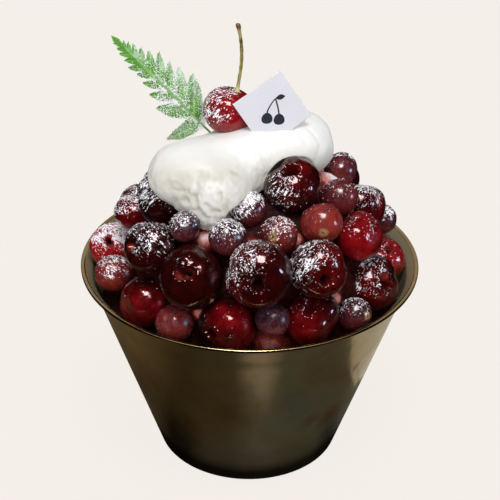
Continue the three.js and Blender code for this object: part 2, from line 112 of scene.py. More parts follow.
# Grey, brown and black spots on the metal: centre, size, strength and colour.
METAL_SPOTS = [((-5, -45, 18), 30, 0.8, GREY), ((20, -50, 45), 22, 0.5, GREY), ((36, -37.5, 35), 11, 1.0, BROWN),
           ((27, -45, 38), 6, 0.6, BROWN), ((-28, -47, 30), 14, 0.5, BROWN), ((-36, -34, 20), 12, 0.6, BROWN),
           ((44.5, -40.5, 62), 4, 1.0, BLACK), ((47.5, -38, 56), 3, 1.0, BLACK)]

# ---- Looks of the fruit ----
# tone: 0 nearly black to 1 crimson. ripe: towards where, sideways and upwards from the serving direction,
# its skin is brighter, partly as riper skin and partly as painted light and shade, and by how much. sugar:
# how
# much lies on it. lit: towards where its sugar lies, and band: from which cosine towards there. cleft: how
# deep
# its seam is, in radii. flesh: how red the flesh at its hole is, and at which turn round the hole it shows
# most.
# hole: how deep its hole is, as a share of the usual depth. bloom: how dusty its skin is. scar: where a
# grape's stalk was. What isn't said is plain.

PLAIN_CHERRY = dict(lit=(-0.3, 0.8), band=-0.15, cleft=0.07, flesh=(0.4, 3.1), ripe=(0.3, -0.5, 0.15),
                    hole=1.0)
PLAIN_GRAPE = dict(lit=(-0.2, 0.85), band=-0.15, bloom=0.5, ripe=(0.2, -0.6, 0.1))


def fruit(tone, sugar, **more):
    return {"tone": tone, "sugar": sugar, **more}


LOOKS = dict(
    cherry_01=fruit(0.12, 0.1, flesh=(0.7, 0), ripe=(0.6, 0.3, 0.62)),
    cherry_02=fruit(0.2, 0.11, cleft=0.16, flesh=(0.2, 0), ripe=(-0.4, -0.2, 0.35), hole=0.35),
    cherry_03=fruit(0.32, 0.25, lit=(-0.5, 0.5), cleft=0.1, flesh=(0.8, 1.5), ripe=(-0.6, -0.3, 0.2)),
    cherry_04=fruit(0.75, 0.17, flesh=(0.9, 0), ripe=(0.2, -0.4, 0.2)),
    cherry_05=fruit(0.45, 0.07, ripe=(0.25, -0.6, 0.3)),
    cherry_06=fruit(1.0, 0.55, lit=(0.0, 0.7), flesh=(0.9, 0)),
    cherry_07=fruit(0.06, 0.3, lit=(0.1, 0.95), band=0.66, flesh=(0.9, 3.6), ripe=(-0.5, 0.5, 0.22)),
    cherry_08=fruit(0.24, 0.28, lit=(-0.85, 0.4), cleft=0.1, flesh=(0.35, 4.7), ripe=(-0.7, -0.3, 0.12)),
    cherry_09=fruit(0.3, 0.31, lit=(-0.85, 0.4), cleft=0.12, flesh=(0.3, 0), ripe=(0.4, -0.5, 0.2)),
    cherry_10=fruit(0.6, 0.16, lit=(-0.3, 0.85), cleft=0.14, ripe=(-0.5, -0.3, 0.2)),
    cherry_11=fruit(0.35, 0.38, lit=(-0.1, 0.9), cleft=0.14),
    cherry_12=fruit(0.08, 0.3, lit=(0, 0.8), cleft=0.18, flesh=(0.7, 3.1)),
    cherry_13=fruit(0.35, 0.35),
    cherry_14=fruit(0.5, 0.35),
    cherry_15=fruit(0.0, 0.33, lit=(-0.5, 0.6)),
    cherry_16=fruit(0.1, 0.42),
    cherry_17=fruit(0.2, 0.3, lit=(-0.5, -0.5), band=0.2, cleft=0.2, flesh=(0.05, 0),
                   ripe=(0.4, 0.6, 0.2), hole=1.2),
    grape_01=fruit(0.1, 0.04, bloom=0.8),
    grape_02=fruit(0.3, 0.35, bloom=0.3, scar=(0.72, -0.05)),
    grape_03=fruit(0.64, 0.06, bloom=0.9),
    grape_04=fruit(0.72, 0.36, bloom=0.3),
    grape_06=fruit(0.1, 0.59, bloom=0.5),
    grape_07=fruit(0.1, 0.33, bloom=0.9),
    grape_08=fruit(0.3, 0.43, bloom=0.6),
    grape_09=fruit(0.55, 0.3, bloom=0.2, scar=(-0.3, -0.05)),
    grape_10=fruit(0.76, 0.1, bloom=0.4, scar=(0.05, -0.45)),
    grape_11=fruit(0.62, 0.18, bloom=0.4),
    grape_12=fruit(0.45, 0.12, bloom=0.8),
    grape_13=fruit(0.35, 0.33, bloom=0.6),
    grape_14=fruit(0.35, 0.52, bloom=0.4, lit=(-0.35, 0.6)),
)
# Patches where the pale ice shows between the fruit: turn round the heap, rise up it, size, and how pale.
PALE_PATCHES = [
    (-25, 43, 5, 0.9), (90, 54, 8, 1.0), (26, 43, 4, 0.8), (0, 43, 4, 0.45), (-21, 13, 4, 0.6),
    (9, 1, 6, 0.72), (39, 15, 4, 0.7), (-27, 49, 4, 0.7), (-60, 4, 4, 0.4), (110, 30, 5, 0.6),
]
BACK_PATCHES = 14  # further patches on the far side, placed by a seeded draw

# ---- Camera and light ----

CAMERA_DISTANCE = 600.0
CAMERA_AIM = np.array([0.06, 0.0, 94.41])
CAMERA_RISE = radians(29.92)
CAMERA_ROLL = radians(0.65)
FOCAL_SHARE = 1384.6 / 500  # focal length over the frame's width
SENSOR = 36.0

NOTHING = (0.0, 0.0, 0.0)
# On the table: a pale streak and, beside the foot, two shadows. Centre, size, strength and colour.
TABLE_SPOTS = [((12, -98, 0), 31, 0.6, (0.56, 0.45, 0.4)), ((-42, -28, 0), 26, 0.75, NOTHING),
               ((43, -16, 0), 20, 0.6, NOTHING)]

# Lamps: name, rise above the horizon, turn from the front to the right, distance and size in metres, power
# and colour.
SOFT_LAMPS = [("key", 66, 6, 1.2, 0.28, 6, (1.0, 0.99, 0.97)),
              ("front_fill", 20, -15, 1.6, 1.2, 6, (1.0, 0.99, 0.98))]
SHINE_LAMPS = [("window_pane", 66, 2, 1.2, 0.42, 15, (1.0, 0.99, 0.98)),
               ("ceiling_lamp", 72, -42, 1.1, 0.1, 1.5, (1.0, 0.98, 0.96))]
SIDE_WINDOW = ("side_window", 8, 76, 1.0, 0.2, 3.5, (0.55, 0.72, 1.0))
METAL_LAMPS = [("overhead", 86, 0, 1.0, 0.9, 1.2, (1.0, 0.97, 0.9)),
               ("rim_left", 62, -52, 1.0, 0.8, 1.6, (1.0, 0.93, 0.78)),
               ("rim_right", 62, 52, 1.0, 0.8, 1.6, (1.0, 0.93, 0.78)),
               ("far_wall", 32, 180, 1.2, 1.6, 4.5, (1.0, 0.93, 0.72))]
LAMPS_AIM = (0, 0, 0.11)  # metres

# The floor and the table under it: height, and how far each goes from the middle.
FLOOR_LEVEL, FLOOR_REACH = -0.5, 20000
TABLE_LEVEL, TABLE_REACH = -1, 150
SURROUND_RADIUS = 19000

BACKGROUND = (0.905, 0.863, 0.815)
FLOOR_GLOW = (0.868, 0.827, 0.78)
AMBIENT = (0.7, 0.71, 0.735)

metal_pieces = bpy.data.collections.new("metal")  # what the lamps that show only in the metal light
glossy_skins = bpy.data.collections.new("glossy_skins")  # what the shadowless side window lights


# ---- Helpers: noise and vectors ----


def value_noise(points, size, seed=0):
    """Smooth noise from -1 to 1 at each point, with features of about that size."""
    scaled = np.asarray(points, float) / size + 0.37 * seed
    cell = np.floor(scaled).astype(np.int64)
    near = scaled - cell
    near = near * near * (3 - 2 * near)
    total = np.zeros(len(scaled))
    for corner in range(8):
        step = np.array([corner & 1, corner >> 1 & 1, corner >> 2 & 1])
        mixed = (cell + step) @ np.array([374761393, 668265263, 1442695041]) + seed * 974711
        mixed = (mixed ^ (mixed >> 13)) * 1274126177 & 0xFFFFFFFF
        height = ((mixed ^ (mixed >> 16)) & 0xFFFF) / 32767.5 - 1
        weight = np.prod(np.where(step == 1, near, 1 - near), axis=1)
        total += weight * height
    return total


def noises(points, *layers):
    """A sum of noises: the gain, size and seed of each."""
    return sum(gain * value_noise(points, size, seed) for gain, size, seed in layers)


def layered_noise(points, size, layers, seed):
    """Noise in layers that are each half as large and half as strong as the one before."""
    return noises(points, *((0.5**i, size * 0.5**i, seed + i) for i in range(layers)))


def smoothstep(low, high, x):
    t = np.clip((x - low) / (high - low), 0, 1)
    return t * t * (3 - 2 * t)


def bump(x, width):
    """From 1 at 0, smoothly down to nearly 0 at twice the width."""
    return np.exp(-(x * x) / (width * width))


def lengths(v):
    return np.linalg.norm(v, axis=-1)


def unit(v):
    v = np.asarray(v, float)
    return v / np.linalg.norm(v, axis=-1, keepdims=True)


def basis(axis, towards):
    """A 3 by 3 matrix whose columns are X, Y and Z, with Z along axis and X nearest to towards."""
    z = unit(axis)
    x = unit(towards - np.dot(towards, z) * z)
    return np.stack([x, np.cross(z, x), z], axis=1)


SERVING = np.array([0, -cos(SERVING_TILT), sin(SERVING_TILT)])
SERVING_UP = np.array([0, sin(SERVING_TILT), cos(SERVING_TILT)])


def from_serving(side, up):
    """The unit direction that lies sideways and upwards of the serving direction."""
    forward = sqrt(max(0, 1 - side * side - up * up))
    return unit(np.array([side, 0, 0]) + up * SERVING_UP + forward * SERVING)


def from_front(turn, rise):
    """The unit direction at so many degrees from the front to the right and above the horizon."""
    turn, rise = radians(turn), radians(rise)
    return np.array([cos(rise) * sin(turn), -cos(rise) * cos(turn), sin(rise)])


# ---- Helpers: meshes ----


def make_object(name, data):
    made = bpy.data.objects.new(name, data)
    scene.collection.objects.link(made)
    return made


def make_mesh(name, points, faces, material):
    """A mesh object from points in millimetres."""
    mesh = bpy.data.meshes.new(name)
    mesh.from_pydata((np.asarray(points) * MM).tolist(), [], [tuple(face) for face in faces])
    mesh.materials.append(material)
    return make_object(name, mesh)


def make_piece(name, points, faces, material, slot, node=None, attributes=None, smooth=True):
    """A piece of the object. attributes are numbers at its points, which its material reads."""
    made = make_mesh(name, points, faces, material)
    made.data.validate()
    for key, values in (attributes or {}).items():
        layer = made.data.attributes.new(key, "FLOAT", "POINT")
        layer.data.foreach_set("value", np.full(len(points), values, np.float32))
    made.data.polygons.foreach_set("use_smooth", [smooth] * len(made.data.polygons))
    made.data.update()
    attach(made, BODY)
    if node:
        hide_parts(node)
    return made


def grid_faces(rows, columns):
    """Quads between rows of points, where each row closes on itself."""
    here = np.arange(rows * columns).reshape(rows, columns)
    beside = np.roll(here, -1, axis=1)
    return np.stack([here[:-1], beside[:-1], beside[1:], here[1:]], axis=2).reshape(-1, 4).tolist()


def ball_faces(rings, sides):
    """Faces of a ball whose points are the rings in order, then the first pole and the last pole."""
    first, last = rings * sides, rings * sides + 1
    faces = [quad[::-1] for quad in grid_faces(rings, sides)]
    bottom = (rings - 1) * sides
    for j in range(sides):
        k = (j + 1) % sides
        faces += [(first, j, k), (last, bottom + k, bottom + j)]
    return faces


def turns(sides):
    return 2 * pi * np.arange(sides) / sides


def ring(radius, turn, height):
    return np.stack([radius * np.cos(turn), radius * np.sin(turn), np.full(len(turn), height)], axis=1)


def ball(polars, sides):
    """A unit ball's polar and turn angles, points and faces: its rings in order, then both poles."""
    polar = np.append(np.repeat(polars, sides), [0, pi])
    turn = np.append(np.tile(turns(sides), len(polars)), [0, 0])
    return polar, turn, ring(np.sin(polar), turn, np.cos(polar)), ball_faces(len(polars), sides)


def in_steps(points, longest, measured=slice(None)):
    """The same line with extra points, so that no stretch is longer than longest in the columns measured."""
    dense = [points[0]]
    for a, b in zip(points, points[1:]):
        parts = max(1, ceil(lengths((b - a)[measured]) / longest))
        dense += [a + (b - a) * i / parts for i in range(1, parts + 1)]
    return np.array(dense)


def fillet(points, radii, steps=6):
    """A profile whose corners are rounded with arcs: one radius for each inner point."""
    points = [np.array(p, float) for p in points]
    rounded = [points[0]]
    for before, corner, after, radius in zip(points, points[1:], points[2:], radii):
        if radius == 0:
            rounded.append(corner)
            continue
        to_before, to_after = unit(before - corner), unit(after - corner)
        half = acos(np.clip(np.dot(to_before, to_after), -1, 1)) / 2
        start, end = (corner + d * radius / tan(half) for d in (to_before, to_after))
        middle = corner + unit(to_before + to_after) * radius / sin(half)
        spread = pi - 2 * half
        for share in np.arange(steps + 1) / steps:
            from_start, from_end = sin((1 - share) * spread), sin(share * spread)
            along = from_start * (start - middle) + from_end * (end - middle)
            rounded.append(middle + along / sin(spread))
    return np.array([*rounded, points[-1]])


def lathe(profile, sides):
    """Points and faces of a closed solid of revolution. The profile runs from axis to axis, top first."""
    rows = [ring(radius, turns(sides), height) for radius, height in profile[1:-1]]
    poles = [[0, 0, profile[0][1]], [0, 0, profile[-1][1]]]
    return np.concatenate([*rows, poles]), ball_faces(len(rows), sides)


# ---- Helpers: materials ----


class Value:
    """What one output of a material's node gives: it takes part in sums and in the methods below."""

    def __init__(self, paint, socket):
        self.paint = paint
        self.socket = socket

    def __add__(self, other):
        return self.paint.combine("ADD", self, other)

    def __sub__(self, other):
        return self.paint.combine("SUBTRACT", self, other)

    def __rsub__(self, other):
        return self.paint.combine("SUBTRACT", other, self)

    def __mul__(self, other):
        return self.paint.combine("MULTIPLY", self, other)

    def at_least(self, other):
        return self.paint.combine("MAXIMUM", self, other)

    def remap(self, low, high, out_low=0.0, out_high=1.0, kind="SMOOTHSTEP"):
        inputs = {"Value": self, "From Min": low, "From Max": high, "To Min": out_low, "To Max": out_high}
        return self.paint.node("MapRange", inputs, interpolation_type=kind)

    def ramp(self, *stops):
        """The colour at this value, between stops that are a place and a colour each."""
        made = self.paint.node("ValToRGB", {"Fac": self})
        elements = made.socket.node.color_ramp.elements
        while len(elements) < len(stops):
            elements.new(0.5)
        for element, (place, color) in zip(elements, stops):
            element.position = place
            element.color = (*color, 1)
        return made

    def mix(self, share, color):
        """This colour, with that share of another in its place."""
        return self.paint.node("Mix", {"Factor": share, 6: self, 7: color}, 2, data_type="RGBA")

    def spotted(self, marks):
        """This colour with uneven spots: the centre, size, strength and colour of each."""
        made = self
        for at, size, strength, color in marks:
            made = made.mix(self.paint.spot(at, size) * strength, color)
        return made

    def relief(self, distance, strength, below=None):
        """The normal of a surface that has this relief, over another relief where there is one."""
        inputs = {"Height": self, "Distance": distance * MM, "Strength": strength}
        if below:
            inputs["Normal"] = below
        return self.paint.node("Bump", inputs)


class Paint:
    """A material in the making. Its methods add nodes, and take sizes in millimetres."""

    def __init__(self, name):
        self.material = bpy.data.materials.new(name)
        self.material.use_nodes = True
        self.tree = self.material.node_tree
        self.here = self.node("TexCoord", output="Object")

    def put(self, socket, value):
        if isinstance(value, Value):
            self.tree.links.new(value.socket, socket)
        elif socket.type == "RGBA":
            socket.default_value = (*value, 1)
        else:
            socket.default_value = value

    def node(self, kind, inputs=None, output=0, **settings):
        made = self.tree.nodes.new("ShaderNode" + kind)
        for key, value in settings.items():
            setattr(made, key, value)
        for key, value in (inputs or {}).items():
            self.put(made.inputs[key], value)
        return Value(self, made.outputs[output])

    def combine(self, operation, a, b):
        return self.node("Math", {0: a, 1: b}, operation=operation)

    def own(self, name):
        """The number of that name that the piece has at each of its points."""
        return self.node("Attribute", output="Fac", attribute_name=name)

    def noise(self, size, detail=3.0, roughness=0.6, stretch=None, offset=0.0, distortion=0.0, tilt=0.0):
        """Noise with features of about that size. tilt turns the stretch to the right."""
        vector = self.here
        if tilt:
            vector = self.node("VectorRotate", {"Vector": vector, "Angle": tilt}, rotation_type="Y_AXIS")
        if stretch or offset:
            placing = {"Vector": vector, "Scale": stretch or (1, 1, 1), "Location": (offset,) * 3}
            vector = self.node("Mapping", placing)
        return self.node("TexNoise", {"Vector": vector, "Scale": 1 / (size * MM), "Detail": detail,
                                      "Roughness": roughness, "Distortion": distortion})

    def spot(self, centre, size):
        """From 1 at a place on the piece to 0 at about that size from it, with an uneven edge."""
        away = self.node("VectorMath", {0: self.here, 1: Vector(centre) * MM}, "Value", operation="DISTANCE")
        uneven = (self.noise(0.8 * size, 4.0) - 0.5) * (size * MM)
        return (away + uneven).remap(0.1 * size * MM, size * MM, 1.0, 0.0)

    def dress(self, **values):
        """Sets the shader's sockets, where base_color is Base Color and so on, and gives the material."""
        sockets = {s.name.lower().replace(" ", "_"): s for s in self.tree.nodes["Principled BSDF"].inputs}
        for key, value in values.items():
            self.put(sockets[key], value)
        return self.material


SUGAR_COLOR = (0.97, 0.96, 1.0)


def dress_sugared(paint, skin, gloss, below, height=0.3, strength=0.3):
    """Dresses a skin with streaky clumps of sugar, thicker where the piece's own number says: gives where."""
    left, right = (paint.noise(1.0, 2.0, 0.5, (1.3, 1.3, 0.45), distortion=0.6, tilt=t) for t in (-0.6, 0.7))
    clumps = paint.node("Mix", {"Factor": paint.own("lean"), 2: left, 3: right})
    grains = paint.noise(0.46, 2.0, 0.7, offset=0.3)
    drifts = paint.noise(4.0, 2.0, offset=0.7)
    field = clumps * 0.5 + grains * 0.28 + drifts * 0.26
    above = field - (0.7 - paint.own("sugar") * 0.225)
    sugar = above.remap(-0.014, 0.018).at_least(above.remap(-0.07, 0.0, 0.0, 0.06))
    paint.dress(base_color=skin.mix(sugar, SUGAR_COLOR), roughness=(sugar * 0.85).at_least(gloss),
                normal=sugar.relief(height, strength, below))
    return sugar


def cherry_material():
    paint = Paint("cherry_skin")
    # The tone carries each fruit's brighter side, which is partly painted light.
    ripe = paint.own("tone") + (paint.noise(6, 5.0) - 0.5) * 0.8
    skin = ripe.ramp((0.0, (0.008, 0.001, 0.001)), (0.3, (0.026, 0.001, 0.001)), (0.6, (0.09, 0.001, 0.002)),
                     (1.0, (0.28, 0.004, 0.008)))
    flesh = paint.noise(1.2, 4.0).ramp((0.35, (0.22, 0.008, 0.006)), (0.62, (0.5, 0.06, 0.045)))
    # Near black deep in the hole: painted shade.
    body = skin.mix(paint.own("flesh"), flesh).mix(paint.own("pit"), (0.008, 0.001, 0.001))
    gloss = paint.noise(3).remap(0.35, 0.65, 0.26, 0.34)
    wrinkles = paint.noise(3.2, distortion=0.6).relief(0.5, 0.22)
    sugar = dress_sugared(paint, body, gloss, wrinkles)
    return paint.dress(specular_ior_level=0.2, specular_tint=(1.0, 0.1, 0.1), coat_roughness=0.08,
                       coat_weight=(1.0 - sugar) * 0.75, coat_normal=wrinkles)


def grape_material():
    paint = Paint("grape_skin")
    # The tone carries each grape's brighter side, which is partly painted light.
    ripe = paint.own("tone") + (paint.noise(5, 5.0) - 0.5) * 0.7
    skin = ripe.ramp((0.0, (0.016, 0.006, 0.012)), (0.35, (0.045, 0.007, 0.013)), (0.65, (0.12, 0.01, 0.009)),
                     (1.0, (0.26, 0.022, 0.013)))
    dust = paint.own("bloom") * paint.noise(2.6, 5.0).remap(0.35, 0.75)
    specks = paint.noise(0.7, 1.0, offset=2.0).remap(0.66, 0.72)
    # The glow from below is painted light showing through the grape.
    layers = [(paint.own("glow") * 0.5, (0.16, 0.014, 0.004)), (dust * 0.2, (0.26, 0.12, 0.18)),
              (specks * 0.3, (0.45, 0.22, 0.14)), (paint.own("scar"), (0.42, 0.24, 0.1)),
              (paint.own("pit"), (0.05, 0.03, 0.012))]
    for share, color in layers:
        skin = skin.mix(share, color)
    dress_sugared(paint, skin, dust * 0.3 + 0.17, paint.noise(2.0).relief(0.2, 0.12))
    return paint.dress(specular_ior_level=0.5)


def bowl_material():
    paint = Paint("bronze_bowl")
    bronze = paint.noise(45, 4.0, 0.55).ramp((0.34, (0.34, 0.21, 0.085)), (0.5, (0.42, 0.33, 0.175)),
                                             (0.66, (0.34, 0.32, 0.19)))
    mottle = paint.noise(9, 6.0, 0.7, offset=0.4).remap(0.3, 0.75)
    bronze = bronze.spotted(METAL_SPOTS).mix(mottle * 0.3, (0.2, 0.15, 0.09))
    inside = paint.own("inside")
    smudge = paint.noise(12, 5.0, 0.65, offset=0.2).remap(0.3, 0.7, 0.09, 0.22)
    scratches = paint.noise(0.5, 2.0, stretch=(0.15, 0.15, 1.0))
    turned = paint.noise(1.1, stretch=(0.02, 0.02, 1.0))
    return paint.dress(base_color=bronze.mix(inside, (0.3, 0.265, 0.17)), roughness=smudge + scratches * 0.05,
                       normal=turned.relief(0.05, 0.18), metallic=1.0 - inside * 0.6)


def ice_material():
    paint = Paint("shaved_ice")
    grains = paint.noise(1.3, 4.0, 0.65)
    # Dark red, nearly black, with syrup and painted shade, except in the pale patches.
    syrup_and_shade = paint.own("syrup_and_shade") + (paint.noise(5.0) - 0.5) * 0.5 + (grains - 0.5) * 0.3
    color = syrup_and_shade.ramp((0.02, (0.95, 0.87, 0.9)), (0.14, (0.84, 0.58, 0.6)), (0.3, (0.7, 0.27, 0.23)),
                       (0.5, (0.3, 0.03, 0.018)), (0.8, (0.05, 0.003, 0.002)), (1.0, (0.02, 0.001, 0.001)))
    crumbs = paint.noise(0.9, 4.0, 0.7, offset=0.5)
    return paint.dress(base_color=color, roughness=syrup_and_shade.remap(0.2, 0.9, 0.6, 0.35),
                       normal=crumbs.relief(0.8, 0.9), specular_ior_level=0.15, subsurface_weight=0.2,
                       subsurface_radius=(1.0, 0.35, 0.3), subsurface_scale=2 * MM)


def cream_material():
    paint = Paint("whipped_cream")
    # Painted shade in the creases and towards the bottom of the dollop, with a little uneven tone.
    shade_and_tone = paint.own("painted_shade") + paint.noise(8) * 0.12
    whipped = paint.noise(2.4, 5.0).relief(0.3, 0.45)
    return paint.dress(base_color=shade_and_tone.ramp((0.0, (0.84, 0.833, 0.815)), (1.0, (0.54, 0.505, 0.42))),
                       normal=paint.noise(0.6).relief(0.08, 0.3, whipped), roughness=0.5,
                       subsurface_weight=0.25, subsurface_radius=(1.0, 0.85, 0.7), subsurface_scale=0.8 * MM)


def stem_material():
    paint = Paint("cherry_stem")
    bark = paint.noise(3.0, 4.0, stretch=(1.5, 1.5, 0.5))
    stalk = bark.ramp((0.35, (0.06, 0.03, 0.012)), (0.5, (0.26, 0.21, 0.045)), (0.7, (0.42, 0.4, 0.12)))
    color = stalk.mix(paint.own("tip"), (0.16, 0.055, 0.025)).mix(paint.own("foot"), (0.62, 0.62, 0.3))
    ridges = paint.noise(0.6, stretch=(1, 1, 0.2)).relief(0.15, 0.6)
    return paint.dress(base_color=color, normal=ridges, roughness=0.5)


def card_material():
    paint = Paint("card_stock")
    fibre = paint.noise(0.5, 4.0)
    return paint.dress(base_color=fibre.ramp((0.3, (0.69, 0.68, 0.725)), (0.7, (0.73, 0.72, 0.765))),
                       normal=fibre.relief(0.03, 0.3), roughness=0.55)


def print_material():
    paint = Paint("card_ink")
    color = paint.noise(0.8).ramp((0.3, (0.012, 0.016, 0.026)), (0.7, (0.022, 0.028, 0.042)))
    return paint.dress(base_color=color, roughness=0.6)


def leaf_material():
    paint = Paint("fern_leaf")
    blade = paint.noise(4, 4.0).ramp((0.3, (0.05, 0.25, 0.015)), (0.7, (0.14, 0.38, 0.045)))
    blade = blade.mix(paint.own("vein"), (0.5, 0.66, 0.36)).mix(paint.own("under"), (0.4, 0.42, 0.16))
    film = paint.own("film") * paint.noise(3).remap(0.3, 0.6)
    blade = blade.mix(film * 0.6, (0.75, 0.84, 0.74))
    dress_sugared(paint, blade, 0.42, paint.noise(0.8).relief(0.08, 0.4), 0.25, 0.6)
    return paint.dress(specular_ior_level=0.25, subsurface_weight=0.1, subsurface_radius=(0.4, 1.0, 0.2),
                       subsurface_scale=MM)


def grain_material():
    paint = Paint("sugar_grains")
    color = paint.noise(1.5).ramp((0.3, (0.86, 0.82, 0.87)), (0.7, (0.97, 0.95, 0.97)))
    return paint.dress(base_color=color, roughness=0.2)


# ---- Bowl ----

rim_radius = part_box("bowl")[1].x / MM
bowl_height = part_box("bowl")[1].z / MM
wall_top = bowl_height - LIP_RISE


def wall_outside(z):
    return FOOT_RADIUS + (WALL_RADIUS - FOOT_RADIUS) * z / wall_top


def wall_inside(z):
    return wall_outside(z) - SHEET


def build_bowl():
    """A spun metal cup: flat foot, straight flaring wall, and a small rim that is turned outwards."""
    bead = 0.55
    step_height = 80.0  # a faint step pressed into the wall below the rim
    inside = [(0, SHEET), (wall_inside(SHEET), SHEET), (wall_inside(wall_top - 1.5), wall_top - 1.5)]
    rim = [(rim_radius - 1.6, bowl_height), (rim_radius, bowl_height), (rim_radius, bowl_height - 2 * bead)]
    outside = [(wall_outside(wall_top - 1) + 0.4, wall_top - 1),
               (wall_outside(step_height) + 0.12, step_height),
               (wall_outside(step_height - 0.8), step_height - 0.8), (wall_outside(0), 0), (0, 0)]
    rounded = fillet(inside + rim + outside, [2.5, 2.0, 1.2, 0.45, 0.45, 1.0, 0, 0, 2.2])
    points, faces = lathe(in_steps(rounded, 4.0), BOWL_SIDES)
    height = points[:, 2]
    between = np.where(height > wall_top, rim_radius - 1.9, wall_outside(height) - SHEET / 2)
    looks = {"inside": lengths(points[:, :2]) < between}
    made = make_piece("bowl_dressed", points, faces, bowl_material(), "bronze_bowl", "bowl", looks)
    metal_pieces.objects.link(made)


# ---- Fruit ----


def node_points(name):
    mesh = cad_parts[name].data
    points = np.empty(3 * len(mesh.vertices))
    mesh.vertices.foreach_get("co", points)
    return np.unique((points / MM).reshape(-1, 3).round(4), axis=0)


def fit_ball(points):
    """Centre of the sphere nearest to the points."""
    left = np.column_stack([2 * points, np.ones(len(points))])
    return np.linalg.lstsq(left, (points**2).sum(axis=1), rcond=None)[0][:3]


def fit_fruit(name):
    """Centre, radius, axis and seam direction of a fruit, and whether it is pitted, from its CAD node."""
    skin = 0.75  # further out than this share of its reach, a point is on its skin
    deep, floor = 0.6, 0.62  # only a hole reaches below the first share, and its floor lies below the second
    belt_edge = 0.35  # the belt round the axis, as a cosine
    points = node_points(name)
    reach = lengths(points - fit_ball(points))
    centre = fit_ball(points[reach > skin * reach.max()])
    arms = points - centre
    reach = lengths(arms)
    radius = reach.max()
    pitted = reach.min() < deep * radius
    if pitted:
        axis = unit(arms[reach < floor * radius].mean(axis=0))
    elif name.startswith("cherry"):
        axis = unit(arms[reach.argmin()])
    else:
        axis = -unit(arms[reach.argmax()])
    belt = np.abs(unit(arms) @ axis) < belt_edge
    seam = arms[belt][reach[belt].argmin()]
    return centre, radius, axis, seam, pitted


def cherry_reach(polar, turn, hole, cleft, wobble):
    """A cherry's surface in radii, and how far each point is in the hole: a torn oval in a shallow funnel."""
    shoulders = 1 - 0.06 * np.cos(polar) ** 2
    dimple = 0.14 * bump(polar, 0.6)
    tip = 0.05 * bump(pi - polar, 0.4)
    turned = (turn + pi) % (2 * pi) - pi
    seam = cleft * bump(turned, 0.3 + cleft) * np.sin(polar)
    reach = shoulders - dimple - tip - seam
    if hole == 0:
        return reach, np.zeros(len(polar))
    edge = 0.26 * (1 + 0.3 * np.cos(2 * turn + wobble) + 0.1 * np.sin(3 * turn + 2.1 * wobble)
                   + 0.05 * np.sin(7 * turn + wobble))
    inside = 1 / (1 + np.exp((polar - edge) / 0.028))
    lip = 0.025 * bump(polar - edge - 0.1, 0.08)
    pucker = 0.014 * np.sin(9 * turn + 3 * wobble) * bump(polar - edge - 0.14, 0.14)
    return reach - 0.5 * hole * inside + lip + pucker, inside


def grape_reach(polar):
    return 0.92 + 0.08 * np.cos(polar) ** 2 - 0.1 * bump(polar, 0.22)


CHERRY_BALL = ball(np.append(np.linspace(0.05, 0.62, 20), np.linspace(0.68, pi - 0.06, 40)), 76)
GRAPE_BALL = ball(np.linspace(0.06, pi - 0.06, 40), 56)

dusted = []  # places that loose grains can lie on: points, normals, how much sugar lies there, and their area
fruit_balls = []  # centre and radius of every fruit, which the cream makes way for


def dust_amount(arms, amount, lit, band, seed):
    """How much sugar lies on each part of a fruit: more on its lit side, in drifts."""
    facing = unit(arms) @ unit(from_serving(*lit) + np.array([0, 0, 0.35]))
    laid = smoothstep(band, band + 1, facing + 0.28 * layered_noise(arms, 5.0, 3, seed))
    return np.clip(laid * (0.25 + 1.1 * amount), 0, 1) * min(1, 4 * amount)


def fruit_look(name, draw):
    """A fruit's look. One on the far side has a drawn tone and amount of sugar."""
    plain = PLAIN_CHERRY if name.startswith("cherry") else PLAIN_GRAPE
    if name in LOOKS:
        return {**plain, **LOOKS[name]}
    return {**plain, "tone": draw.uniform(0.1, 0.75), "sugar": draw.uniform(0.2, 0.55)}


def shape_cherry(look, pitted, wobble, seed):
    """A cherry's reach in radii, how far each point is in its hole, and the hole's colour: red flesh near its
    edge, painted shade deep inside.
    """
    polar, turn, ways, _ = CHERRY_BALL
    reach, inside = cherry_reach(polar, turn, look["hole"] * pitted, look["cleft"], wobble)
    lumps = noises(ways, (0.03, 0.8, seed), (0.016, 0.33, seed + 1), (0.005, 0.15, seed + 2))
    redness, side = look["flesh"]
    torn = smoothstep(-0.5, 0.9, np.cos(turn - side) + 0.3 * value_noise(ways, 0.12, seed + 3))
    flesh = redness * torn * smoothstep(0.02, 0.3, inside) * smoothstep(0.04, 0.16, polar)
    # Painted shade: near black deep in the hole, where no flesh shows.
    pit = np.clip(smoothstep(0.3, 0.8, inside) * (1 - flesh) * look["hole"], 0, 1)
    return reach + lumps, inside, {"flesh": flesh, "pit": pit}


def grape_looks(look, arms, radius, seed):
    """Where a grape has a painted glow from below, how dusty it is, and the scar of its stalk where that
    shows.
    """
    looks = {"glow": smoothstep(0.0, 0.9, unit(arms) @ -SERVING_UP), "bloom": look["bloom"]}
    if "scar" in look:
        away = np.arccos(np.clip(unit(arms) @ from_serving(*look["scar"]), -1, 1)) * radius
        looks["scar"] = smoothstep(2.6, 0.8, away + 0.9 * layered_noise(arms, 1.6, 2, seed))
        looks["pit"] = smoothstep(0.8, 0.4, away)
    return looks


